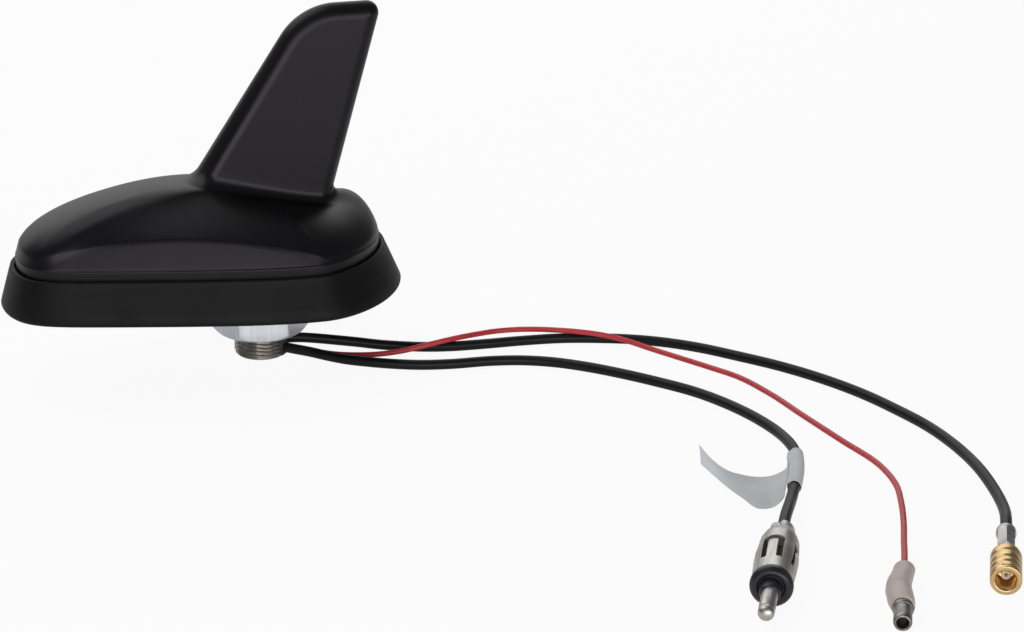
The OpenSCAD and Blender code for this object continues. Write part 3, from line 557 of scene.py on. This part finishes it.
def navigation_connector():
    put = along(*NAVIGATION)
    ferrule, thick, length, radius, mouth, depth, sunk = 11.3, 2.15, 13.1, 3.3, 2.1, 6, 2.8
    front = ferrule + length
    foot, face = front - depth, front - sunk

    def flats(a, z):
        """The crimping tool leaves six flats between the ferrule's round ends."""
        pressed = clamp((z - 1.3) / 0.6) * clamp((ferrule - 1.6 - z) / 0.6)
        return mix(1, 0.95 * cosd(30) / cosd((a % 60) - 30), pressed)

    outline = [(0, 0.2), (1.35, 0.2), (1.45, 0), (thick - 0.12, 0), (thick, 0.12)]
    outline += [(thick, z) for z in (0.7, 1.3, 1.6, 1.9, 3.5, 6, 8.5, ferrule - 2.2,
                                     ferrule - 1.9, ferrule - 1.6, ferrule)]
    points, faces = turned(outline + [(0, ferrule)], put, 120, flats)
    make("connector_ferrule", points, faces, "tin_plate", ("nav_ferrule",))

    outline = [(0, 0), (thick + 0.05, 0), (thick + 0.2, 0.1), (radius - 0.1, 1.7), (radius, 1.9)]
    for groove in (8.9, 5.7, 3.2):
        z = length - groove
        outline += [(radius, z - 0.5), (radius - 0.3, z - 0.2), (radius - 0.3, z + 0.2),
                    (radius, z + 0.5)]
    outline += [(radius, length - 0.18), (radius - 0.18, length), (mouth + 0.3, length),
                (mouth, length - 0.3), (mouth, length - depth), (0, length - depth)]
    points, faces = turned(rounded(outline, 0.1, 2),
                           lambda x, y, z: put(x, y, z + ferrule), 120)
    body = make("connector_body", points, faces, "gold_plate", ("nav_body",))
    cut(body, [arc_slit(180 + 62 * i, 20, radius - 0.5, radius + 0.5,
                        front - 1.25, front - 0.75, put) for i in (-1, 0, 1)])

    outline = rounded([(0.45, foot), (1.05, foot), (1.05, face), (0.45, face)], 0.1, 3, True)
    points, faces = turned(outline, put, 64)
    make("connector_insulator", points, faces, "white_insulator", ("nav_insulator",))
    outline = [(0, foot), (0.4, foot), (0.4, face - 0.3), (0.36, face - 0.2),
               (0.25, face - 0.2), (0.25, foot + 1), (0, foot + 1)]
    points, faces = turned(outline, put, 48)
    make("connector_contact", points, faces, "gold_plate", ("nav_contact",))


def supply_connector():
    straight = along(*SUPPLY)
    radius, length, barrel, bore, reach, slip = 2.75, 18.4, 1.9, 1.25, 7.4, 1.0

    def squeezed(a, z):
        """The sleeve's soft end is pressed a little flat over the wire."""
        return 1 - 0.10 * clamp((11 - z) / 6) * (1 + cosd(2 * a)) / 2

    def skewed(x, y, z):
        """The soft sleeve has slipped to one side over the metal."""
        outer = clamp((math.hypot(x, y) - barrel - 0.05) / 0.5)
        bow = math.sin(math.pi * clamp((z - 1) / (length - 1))) ** 1.2
        return straight(x, y - outer * slip * bow, z)

    outline = [(0, 0.4), (0.75, 0.4), (0.9, 0), (radius - 0.85, 0), (radius - 0.65, 0.25),
               (radius - 0.48, 1.0), (radius - 0.4, 4), (radius - 0.2, 7.2),
               (radius - 0.12, 9.2), (radius - 0.1, 10.6), (radius - 0.22, 10.75),
               (radius - 0.2, 10.95), (radius, 11.2), (radius, length - 3),
               (2.62, length - 1.6), (2.42, length - 0.2), (2.3, length),
               (barrel + 0.05, length), (barrel + 0.05, length - 4), (0, length - 4)]
    points, faces = turned(rounded(outline, 0.12, 2), skewed, 96, squeezed)
    make("supply_sleeve_moulding", points, faces, "sleeve_plastic", ("supply_sleeve",))
    tip, bead = length + reach, 0.3
    outline = [(0, length - 4), (barrel, length - 4), (barrel, length + 0.3)]
    outline += [(barrel + bead * sind(a), length + 0.9 - 2 * bead * cosd(a))
                for a in range(15, 180, 15)]
    outline += [(barrel, length + 1.5), (barrel - 0.05, length + 3.4), (barrel, length + 5),
                (barrel, tip - 0.6), (barrel - 0.08, tip - 0.25), (barrel - 0.22, tip - 0.06),
                (barrel - 0.36, tip), (bore + 0.1, tip), (bore, tip - 0.12),
                (bore, tip - 6.5), (0, tip - 6.5)]
    points, faces = turned(outline, straight)
    make("supply_barrel_tube", points, faces, "barrel_tin", ("supply_barrel",))


radio_plug()
navigation_connector()
supply_connector()
radio_line = lead("radio_lead", RADIO_ROUTE, COAX, "lead_jacket")
lead("navigation_lead", NAVIGATION_ROUTE, COAX, "lead_jacket")
lead("supply_wire", SUPPLY_ROUTE, WIRE, "wire_jacket")


# ---- Paper flag, wrapped round the radio lead; its free end curls up

FLAG_THICK, FLAG_ACROSS, FLAG_PUFF = 0.2, 12, 0.2
FLAG_ROUTE_POINTS = (19, 21)  # the wrap's two edges, as points of the radio lead's route
FLAG_WRAP = range(180, 491, 8)
FREE_END = [
    ((95.6, -117, 2.4), (88.6, -131.5, 1.9)), ((93.2, -116.3, 1.1), (87.2, -131, 0.5)),
    ((89.5, -115.3, 0.8), (84.6, -130.7, 0.2)), ((86, -115, 1.7), (82.4, -123.8, 0.4)),
    ((82.2, -115, 3.4), (80.8, -118.9, 1.1)), ((79, -113, 6), (78.7, -115.6, 2.9)),
    ((77.2, -110.8, 8.5), (76.7, -113.2, 4.8)),
]


def flag_columns():
    """The sheet's middle surface, in rows of points from its top edge to its foot."""
    first, last = (LINE_STEPS * point + 1 for point in FLAG_ROUTE_POINTS)
    shares = [k / FLAG_ACROSS for k in range(FLAG_ACROSS + 1)]
    wrap = []
    for a in FLAG_WRAP:
        row = []
        for share in shares:
            i = round(mix(first, last, share))
            side, up = side_and_up(radio_line, i)
            row.append(radio_line[i] + (COAX + 0.25) * (cosd(a) * side + sind(a) * up))
        wrap.append(row)
    free = [[mix(Vector(top), Vector(foot), share)
             + Vector((0, 0, SURFACE + FLAG_PUFF * sind(180 * share))) for share in shares]
            for top, foot in FREE_END]
    strips = [smooth_line([wrap[-2][k], wrap[-1][k]] + [row[k] for row in free])[LINE_STEPS:]
              for k in range(len(shares))]
    return wrap[:-1] + [list(row) for row in zip(*strips)]


def paper_flag():
    """Thickens the sheet to both sides and closes its edges."""
    columns = flag_columns()
    across, count = FLAG_ACROSS, len(columns)
    n, points = across + 1, []
    for sign in (-1, 1):
        for j, row in enumerate(columns):
            before, after = columns[max(j - 1, 0)], columns[min(j + 1, count - 1)]
            for k, p in enumerate(row):
                run = after[k] - before[k]
                wide = row[min(k + 1, across)] - row[max(k - 1, 0)]
                p = p + sign * FLAG_THICK / 2 * run.cross(wide).normalized()
                points.append((p.x, p.y, max(p.z, SURFACE)))
    shift, faces = count * n, []
    for j in range(count - 1):
        for a in range(j * n, j * n + across):
            faces += [(a, a + 1, a + n + 1, a + n),
                      (shift + a, shift + a + n, shift + a + n + 1, shift + a + 1)]
        for a in (j * n, j * n + across):
            faces.append((a, a + n, shift + a + n, shift + a))
    for j in (0, count - 1):
        for a in range(j * n, j * n + across):
            faces.append((a, a + 1, shift + a + 1, shift + a))
    make("paper_flag", points, faces, "flag_paper", ("lead_flag",), sharp=60)


paper_flag()


# ---- Base outline, cover and fin: the part's own functions, drawn finer

NOSE, TAIL, WIDTH, STATION = 65.1, 36.2, 67, 9.5
NOSE_TAPER, NOSE_BULK, TAIL_BULK = 0.56, 20, 1.5
FLARE_NOSE, FLARE_TAIL, FLARE_SIDE, COVER_FIT = 2.7, 3.9, 0.4, 0.3
SEAL_HEIGHT, SEAL_WEB, SEAL_EDGE, SEAL_LIP = 10.7, 2.2, 1.2, 1.2
CHANNEL_DEPTH, CHANNEL_WIDTH, HUB_HOLE = 0.8, 2, 12.3
COVER_FOOT, BAND_TOP, BAND_STEP, FACET_LEAN, COVER_WALL = 6.4, 13.0, 0.4, 0.36, 2
NOSE_RAMP, TAIL_RAMP = (9, 6), (13, 8)  # how far in the band's step starts, and its run
FACET_LEAST, ARCH_TOP, ARCH_STATION, ARCH_CURVE, CREASE_REACH = 0.4, 20, 25, 0.0048, 0.9
STEEP_TAIL, STEEP_NOSE, STEEP_FLANK, FLANK_SHARE = 0.4, 0.42, 0.03, 0.6
BULGE_TAIL, BULGE_NOSE, BULGE_POWER = 4, 10, 0.4545
BACK_START, BACK_RINGS, FIN_RINGS = 0.02, 30, 44
FIN_TOP, FIN_FOOT, FIN_EDGE, FIN_FILLET = 71.8, 29.4, 3.8, 2.8
FIN_FRONT, FIN_REAR, FIN_THICK, FIN_DRAFT, HOLLOW_HALF = -16.2, 21.1, 7, 1.8, 0.5
CROWN_FRONT, CROWN_REAR, CROWN_DIP, DIP_SOFTNESS = 29.4, 23.2, 2.8, 0.15
FRONT_ANGLE, REAR_ANGLE = 55.8, 73.6
AROUND = 240
ANGLES = [360 * i / AROUND for i in range(AROUND)]


def ring_of(point, *settings):
    """A ring of the piece: point(t, *settings) at each angle t round it."""
    return [point(t, *settings) for t in ANGLES]


def side_sign(t):
    s = sind(t)
    return 0 if abs(s) < 1e-9 else math.copysign(1, s)


def flare(t):
    return mix(FLARE_NOSE, FLARE_TAIL, (1 + cosd(t)) / 2) + FLARE_SIDE * sind(t) ** 2


def foot_inset(t):
    return flare(t) + SEAL_LIP + COVER_FIT


def soft_power(a, p, e=0.25):
    return ((a * a + e * e) ** (p / 2) - e**p) / ((1 + e * e) ** (p / 2) - e**p)


def plan(t):
    """The seal's outline on the roof, at angle t from the tail."""
    c = cosd(t)
    nose, a = c < 0, abs(c)
    reach = NOSE + STATION if nose else TAIL - STATION
    taper = 1 - NOSE_TAPER * soft_power(a, 1) if nose else 1
    bulk = math.sqrt(max(0, 1 - (a**NOSE_BULK if nose else soft_power(a, TAIL_BULK))))
    return (STATION + reach * c, side_sign(t) * WIDTH / 2 * taper * bulk)


def plan_normal(t):
    (x0, y0), (x1, y1) = plan(t - 1), plan(t + 1)
    dx, dy = x1 - x0, y1 - y0
    size = math.hypot(dx, dy)
    return (dy / size, -dx / size)


def rim(t, inset, z):
    (x, y), (nx, ny) = plan(t), plan_normal(t)
    return (x - inset * nx, y - inset * ny, z)


def front_line(z):
    return FIN_FRONT + (z - FIN_FOOT) / tand(FRONT_ANGLE)


def rear_line(z):
    return FIN_REAR + (z - FIN_FOOT) / tand(REAR_ANGLE)


NOSE_RADIUS, TAIL_RADIUS = 17, 3
NOSE_RUN = NOSE_RADIUS * tand(FRONT_ANGLE / 2)
TAIL_RUN = TAIL_RADIUS * tand((180 - REAR_ANGLE) / 2)
NOSE_CENTRE = (front_line(FIN_TOP) + NOSE_RUN, FIN_TOP - NOSE_RADIUS)
TAIL_CENTRE = (rear_line(FIN_TOP) - TAIL_RUN, FIN_TOP - TAIL_RADIUS)


def front_x(z):
    if z < FIN_TOP - NOSE_RUN * sind(FRONT_ANGLE):
        return front_line(z)
    return NOSE_CENTRE[0] - math.sqrt(max(0, NOSE_RADIUS**2 - (z - NOSE_CENTRE[1]) ** 2))


def rear_x(z):
    if z < FIN_TOP - TAIL_RUN * sind(REAR_ANGLE):
        return rear_line(z)
    return TAIL_CENTRE[0] + math.sqrt(max(0, TAIL_RADIUS**2 - (z - TAIL_CENTRE[1]) ** 2))


def edge_distance(x, z):
    """How far a point of the fin's side lies inside the fin's outline."""
    nx, nz = x - NOSE_CENTRE[0], z - NOSE_CENTRE[1]
    rx, rz = x - TAIL_CENTRE[0], z - TAIL_CENTRE[1]
    if nx * cosd(FRONT_ANGLE) + nz * sind(FRONT_ANGLE) > 0 and nx < 0:
        return NOSE_RADIUS - math.hypot(nx, nz)
    if rx * cosd(REAR_ANGLE) + rz * sind(REAR_ANGLE) > 0 and rx > 0:
        return TAIL_RADIUS - math.hypot(rx, rz)
    return min((x - front_line(z)) * sind(FRONT_ANGLE),
               (rear_line(z) - x) * sind(REAR_ANGLE), FIN_TOP - z)


def fin_point(t, z, skin, grow):
    """The fin's outside at angle t, or its inside where skin is the wall. Grow widens it."""
    share = (1 + cosd(t)) / 2
    x = mix(front_x(z) + skin / sind(FRONT_ANGLE) - grow,
            rear_x(z) - skin / sind(REAR_ANGLE) + grow, share)
    inner = mix(front_x(z), rear_x(z), share)
    d = edge_distance(x, z) - skin if skin > 0 else edge_distance(inner, z)
    half = FIN_THICK / 2 + (FIN_TOP - z) * tand(FIN_DRAFT)
    y = (half - skin + grow) * math.sqrt(1 - (1 - clamp(d / FIN_EDGE)) ** 2)
    return (x, side_sign(t) * (max(y, HOLLOW_HALF) if skin > 0 else y), z)


def crown(t):
    """Height of the fin's foot, which dips beside the fin towards its rear."""
    rear, across = (1 + cosd(t)) / 2, sind(t) ** 2
    side = (1 + DIP_SOFTNESS) * across / (across + DIP_SOFTNESS)
    return mix(CROWN_FRONT, CROWN_REAR, rear) - CROWN_DIP * rear * side


def crease_height(x):
    return max(BAND_TOP + FACET_LEAST, ARCH_TOP - ARCH_CURVE * (x + ARCH_STATION) ** 2)


def band_ramp(x):
    """The step over the band runs out before the nose and the tail."""
    (nose_start, nose_run), (tail_start, tail_run) = NOSE_RAMP, TAIL_RAMP
    return clamp((x + NOSE - nose_start) / nose_run) * clamp((TAIL - tail_start - x) / tail_run)


def crease(t, skin=0.0):
    """The edge between the flat side facet and the rounded back."""
    x = plan(t)[0]
    z = crease_height(x)
    inset = foot_inset(t) + skin + BAND_STEP * band_ramp(x) + FACET_LEAN * (z - BAND_TOP)
    return rim(t, inset, z - skin / 2)


def rise(s, k, m):
    """Share of the climb at share s of the way in: steep at first by k, with bulge m."""
    return k * (1 - (1 - s) ** m) ** BULGE_POWER + (1 - k) * (1 - (1 - s) ** 2)


def back_point(t, s, skin=0.0):
    """The rounded back, from the crease at s = 0 to the fin's foot at s = 1."""
    a, z, nose = crease(t, skin), crown(t) - skin, (1 - cosd(t)) / 2
    b = fin_point(t, z, skin, 0 if skin > 0 else FIN_FILLET)
    arch = clamp((crease_height(plan(t)[0]) - BAND_TOP) / (ARCH_TOP - BAND_TOP))
    flank = clamp((arch ** 2 + (FLANK_SHARE * sind(t) ** 2) ** 4) ** 0.25)
    k = mix(mix(STEEP_TAIL, STEEP_NOSE, nose), STEEP_FLANK, flank)
    climb = rise(s, k, mix(BULGE_TAIL, BULGE_NOSE, nose))
    return (mix(a[0], b[0], s), mix(a[1], b[1], s), mix(a[2], b[2], climb))


def band_point(t, depth, z):
    return rim(t, foot_inset(t) + depth * BAND_STEP * band_ramp(plan(t)[0]), z)


def facet_foot(t):
    return band_point(t, 1, BAND_TOP + 0.2)


def crease_curve(t, u):
    """The crease is a small curve from the facet to the back."""
    corner, foot, high = crease(t), facet_foot(t), back_point(t, BACK_START)
    share = min(0.5, CREASE_REACH / max(0.1, math.dist(corner, foot)))
    low = blend(corner, foot, share)
    return blend(blend(low, corner, u), blend(corner, high, u), u)


def cover_inside():
    skin = COVER_WALL
    top = FIN_TOP - 1.5 * skin
    rings = [ring_of(lambda t: fin_point(t, mix(crown(t) - skin, top, v), skin, 0))
             for v in (1, 0.95, 0.88, 0.75, 0.55, 0.3)]
    rings += [ring_of(back_point, s, skin) for s in (1, 0.8, 0.6, 0.4, 0.25, 0.12, 0.05)]
    rings += [ring_of(crease, skin)]
    return rings + [ring_of(lambda t: rim(t, foot_inset(t) + skin, z))
                    for z in (BAND_TOP - skin, COVER_FOOT)]


def cover_outside():
    rings = [ring_of(lambda t: rim(t, foot_inset(t) + d, z))
             for d, z in ((0.2, COVER_FOOT), (0.05, COVER_FOOT + 0.06), (0, COVER_FOOT + 0.25),
                          (0, 10))]
    rings += [ring_of(band_point, d, BAND_TOP + z)
              for d, z in ((0, -0.45), (0.02, -0.22), (0.12, -0.05), (0.35, 0.05), (0.8, 0.1),
                           (0.97, 0.16))]
    rings += [ring_of(lambda t: blend(facet_foot(t), crease(t), u)) for u in (0.0, 0.2, 0.45)]
    rings += [ring_of(crease_curve, u) for u in (0, 0.15, 0.32, 0.5, 0.68, 0.85, 1)]
    rings += [ring_of(back_point, mix(BACK_START, 1, (i / BACK_RINGS) ** 1.5))
              for i in range(1, BACK_RINGS + 1)]
    rings += [ring_of(lambda t: fin_point(t, crown(t) + FIN_FILLET * (1 - cosd(a)), 0,
                                          FIN_FILLET * (1 - sind(a))))
              for a in range(10, 91, 10)]
    shares = [1 - (1 - i / FIN_RINGS) ** 2.1 for i in range(1, FIN_RINGS + 1)]
    return rings + [ring_of(lambda t: fin_point(
        t, mix(crown(t) + FIN_FILLET, FIN_TOP - 0.004, share), 0, 0)) for share in shares]


def cover_piece():
    rings = cover_inside() + cover_outside()
    faces = folded_cap(0, AROUND) + ring_faces(len(rings), AROUND)
    faces += folded_cap((len(rings) - 1) * AROUND, AROUND)
    make("cover_moulding", joined(rings), faces, "cover_plastic", ("cover",), sharp=40)


def seal_piece():
    e, h, lip, web, hole = SEAL_EDGE, SEAL_HEIGHT, SEAL_LIP, SEAL_WEB, HUB_HOLE
    inset = e + 4.4
    inner = inset - CHANNEL_WIDTH
    profile = [(e - e * sind(a), e - e * cosd(a), 0) for a in range(0, 91, 15)]
    profile += [(0, z, clamp((z - e) / (h - 0.3 - e))) for z in (3.5, 6, 8.4)]
    profile += [(d, h - z, 1) for d, z in
                ((0, 0.42), (0.04, 0.24), (0.14, 0.1), (0.3, 0.02), (0.42, 0), (lip - 0.3, 0),
                 (lip - 0.1, 0.06), (lip, 0.25))]
    profile += [(lip, web + 0.3, 1), (lip + 0.3, web, 1)]
    rings = [ring_of(lambda t: rim(t, d + share * flare(t), z)) for d, z, share in profile]

    def hole_point(t, z, r):
        """A round ring whose points face those of the rim."""
        x, y, _ = rim(t, inset, z)
        size = math.hypot(x, y)
        return (r * x / size, r * y / size, z)
    rings.append(ring_of(rim, inset, web))
    rings += [ring_of(hole_point, z, hole + r)
              for z, r in ((web, 0.2), (web - 0.2, 0), (0.2, 0), (0, 0.2))]
    rings += [ring_of(rim, d, z) for d, z in
              ((inset + 0.2, 0), (inset, 0.2), (inset, CHANNEL_DEPTH), (inner, CHANNEL_DEPTH),
               (inner, 0.2), (inner - 0.2, 0))]
    make("seal_moulding", joined(rings), ring_faces(len(rings), AROUND, True), "seal_rubber",
         ("base_seal",), sharp=35)


cover_piece()
seal_piece()


# ---- Stud and nut


def stud_piece():
    radius, pitch, depth, bore = 7, 1.0, 0.55, 4.9
    bottom, thread_end, top = SURFACE, -1.5, 5.4
    head, n, per = 9.6, 120, 8
    crest, flank = 0.12, 0.70  # shares of half a pitch
    angles = [360 * i / n for i in range(n)]
    count = int((thread_end - bottom) / (pitch / per))

    def thread(a, z):
        ridge = abs(2 * ((z / pitch + a / 360) % 1) - 1)
        cutting = clamp((ridge - crest) / flank)
        fade = clamp((thread_end - 0.6 - z) / 0.6)
        chamfer = radius - 0.9 + (z - bottom)
        return min(radius - depth * cutting * fade, chamfer)

    def ring(z, reach):
        return [(r * cosd(a), r * sind(a), z) for r, a in zip(reach, angles)]

    rows = [ring(z, [r] * n) for r, z in ((bore, bottom + 0.25), (bore + 0.25, bottom))]
    rows += [ring(z, [thread(a, z) for a in angles])
             for z in (bottom + j * pitch / per for j in range(count + 1))]
    rows += [ring(z, [r] * n) for r, z in
             ((radius, -1.3), (radius, top), (head - 0.1, top), (head, top + 0.1),
              (head, top + 1.7), (head - 0.1, top + 1.8), (bore + 0.1, top + 1.8),
              (bore, top + 1.7))]
    piece = make("stud_thread", joined(rows), ring_faces(len(rows), n, True), "stud_nickel",
                 ("threaded_stud",), sharp=50)

    width, height, c, s = 7.6, 5.2, cosd(SLOT_ANGLE), sind(SLOT_ANGLE)
    outline = [(-width / 2, bottom - 1), (width / 2, bottom - 1),
               (width / 2, bottom + height), (-width / 2, bottom + height)]
    cut(piece, [prism(rounded(outline, 0.3, 3, True), 0, 8.5,
                      lambda x, y, z: (x * c - y * s, x * s + y * c, z))], sharp=50)


def nut_piece():
    flats, thick, turn, low, n = 22, 8, -8.5, -12.0, 360
    corner, land, bore, lead_in = flats / math.sqrt(3), flats / 2 - 0.3, 7.05, 0.7
    bevel = (corner - land) * tand(30) * 1.3
    softness = 6  # the larger, the sharper the six edges
    columns = []
    for i in range(n):
        a = 360 * i / n
        off = ((a - turn) % 60) - 30
        reach = -math.log(math.exp(-softness * flats / 2 / cosd(off))
                          + math.exp(-softness * (corner - 0.12))) / softness
        h = bevel * (reach - land) / (corner + 0.1 - land)
        lower = [(bore, lead_in), (bore + lead_in, 0), (land - 0.5, 0), (land, 0.02),
                 (mix(land, reach, 0.9), 0.9 * h), (reach - 0.02, h + 0.02),
                 (reach, h + 0.14), (reach, 0.3 * thick)]
        profile = lower + [(reach, 0.5 * thick)] + [(r, thick - z) for r, z in reversed(lower)]
        columns.append([(r * cosd(a), r * sind(a), low + z) for r, z in profile])
    rows = list(zip(*columns))
    make("nut_steel", joined(rows), ring_faces(len(rows), n, True), "plated_steel",
         ("hex_nut",), body="nut", sharp=24)


stud_piece()
nut_piece()


# ---- CAD nodes that stay: each takes the finish of its own slot

KEPT = {
    "base_plate": "die_cast", "cover_gasket": "gasket_rubber", "cover_screws": "plated_steel",
    "cable_grommet": "gasket_rubber", "lock_washer": "plated_steel", "main_board": "board",
    "board_screws": "plated_steel", "screening_can": "tin_plate",
    "ceramic_patch": "patch_ceramic", "patch_feed_pin": "tin_plate", "fin_blade": "board",
    "blade_clip": "spring_brass", "inner_leads": "lead_jacket",
}
for node_name, finish_name in KEPT.items():
    node = nodes[node_name]
    node.data.materials.clear()
    node.data.materials.append(FINISHES[finish_name].material)


# ---- Floor and light

WHITE = (1, 1, 1, 1)
FLOOR_HALF, FLOOR_DROP = 4.0, 0.00002  # metres
LAMPS = (  # name, place, target and size in metres, and power in watts
    ("backdrop", (0.1, 1.3, 0.50), (0, 0, 0.05), (2.3, 0.8), 4.8),
    ("overhead", (0.16, 1.0, 0.95), (0.03, -0.03, 0), (1.6, 0.8), 3.9),
    ("nose", (-0.50, 0.32, 1.12), (0, 0, 0), (0.9, 1.1), 5.4),
    ("front", (-0.08, -1.2, 0.225), (0.03, -0.05, 0), (1.7, 0.47), 9.4),
)


def shader(tree, kind, colour, strength=None):
    node = tree.nodes.new(kind)
    node.inputs["Color"].default_value = colour
    if strength is not None:
        node.inputs["Strength"].default_value = strength
    return node


def seen_white(tree, lit, glow, out, shown_share, mirrored_share):
    """Mixes the lit shader with white glow.

    Camera and transmission rays see shown_share of the glow, glossy rays mirrored_share.
    """
    path = tree.nodes.new("ShaderNodeLightPath")

    def maths(operation, first, second):
        node = tree.nodes.new("ShaderNodeMath")
        node.operation = operation
        for socket, value in zip(node.inputs, (first, second)):
            if isinstance(value, float):
                socket.default_value = value
            else:
                tree.links.new(value, socket)
        return node.outputs[0]

    shown = maths("MAXIMUM", path.outputs["Is Camera Ray"], path.outputs["Is Transmission Ray"])
    mirrored = maths("MULTIPLY", path.outputs["Is Glossy Ray"], mirrored_share)
    share = maths("MAXIMUM", maths("MULTIPLY", shown, shown_share), mirrored)
    mixer = tree.nodes.new("ShaderNodeMixShader")
    for source, socket in zip((share, lit.outputs[0], glow.outputs[0]), mixer.inputs):
        tree.links.new(source, socket)
    tree.links.new(mixer.outputs[0], out.inputs["Surface"])


def pale_floor():
    mesh = bpy.data.meshes.new("floor")
    half, z = FLOOR_HALF, SURFACE * MM - FLOOR_DROP
    mesh.from_pydata([(-half, -half, z), (half, -half, z), (half, half, z), (-half, half, z)],
                     [], [(0, 1, 2, 3)])
    pale = bpy.data.materials.new("floor")
    pale.use_nodes = True
    tree = pale.node_tree
    tree.nodes.clear()
    seen_white(tree, shader(tree, "ShaderNodeBsdfDiffuse", (0.9, 0.9, 0.9, 1)),
               shader(tree, "ShaderNodeEmission", WHITE, 1.0),
               tree.nodes.new("ShaderNodeOutputMaterial"), 0.93, 0.35)
    mesh.materials.append(pale)
    link_object("floor", mesh)


def pale_world():
    world = bpy.data.worlds.new("world")
    bpy.context.scene.world = world
    world.use_nodes = True
    tree = world.node_tree
    sky = tree.nodes["Background"]
    sky.inputs["Color"].default_value = (0.96, 0.98, 1.0, 1)
    sky.inputs["Strength"].default_value = 0.10
    seen_white(tree, sky, shader(tree, "ShaderNodeBackground", WHITE, 1.0),
               tree.nodes["World Output"], 0.97, 0.03)


def lamp(name, at, target, size, power):
    data = bpy.data.lights.new(name, "AREA")
    data.shape = "RECTANGLE"
    data.size, data.size_y = size
    data.energy = power
    light = link_object(name, data)
    light.location = at
    light.rotation_euler = (Vector(target) - Vector(at)).to_track_quat("-Z", "Y").to_euler()


pale_floor()
pale_world()
for settings in LAMPS:
    lamp(*settings)
bpy.context.scene.view_settings.view_transform = "Standard"
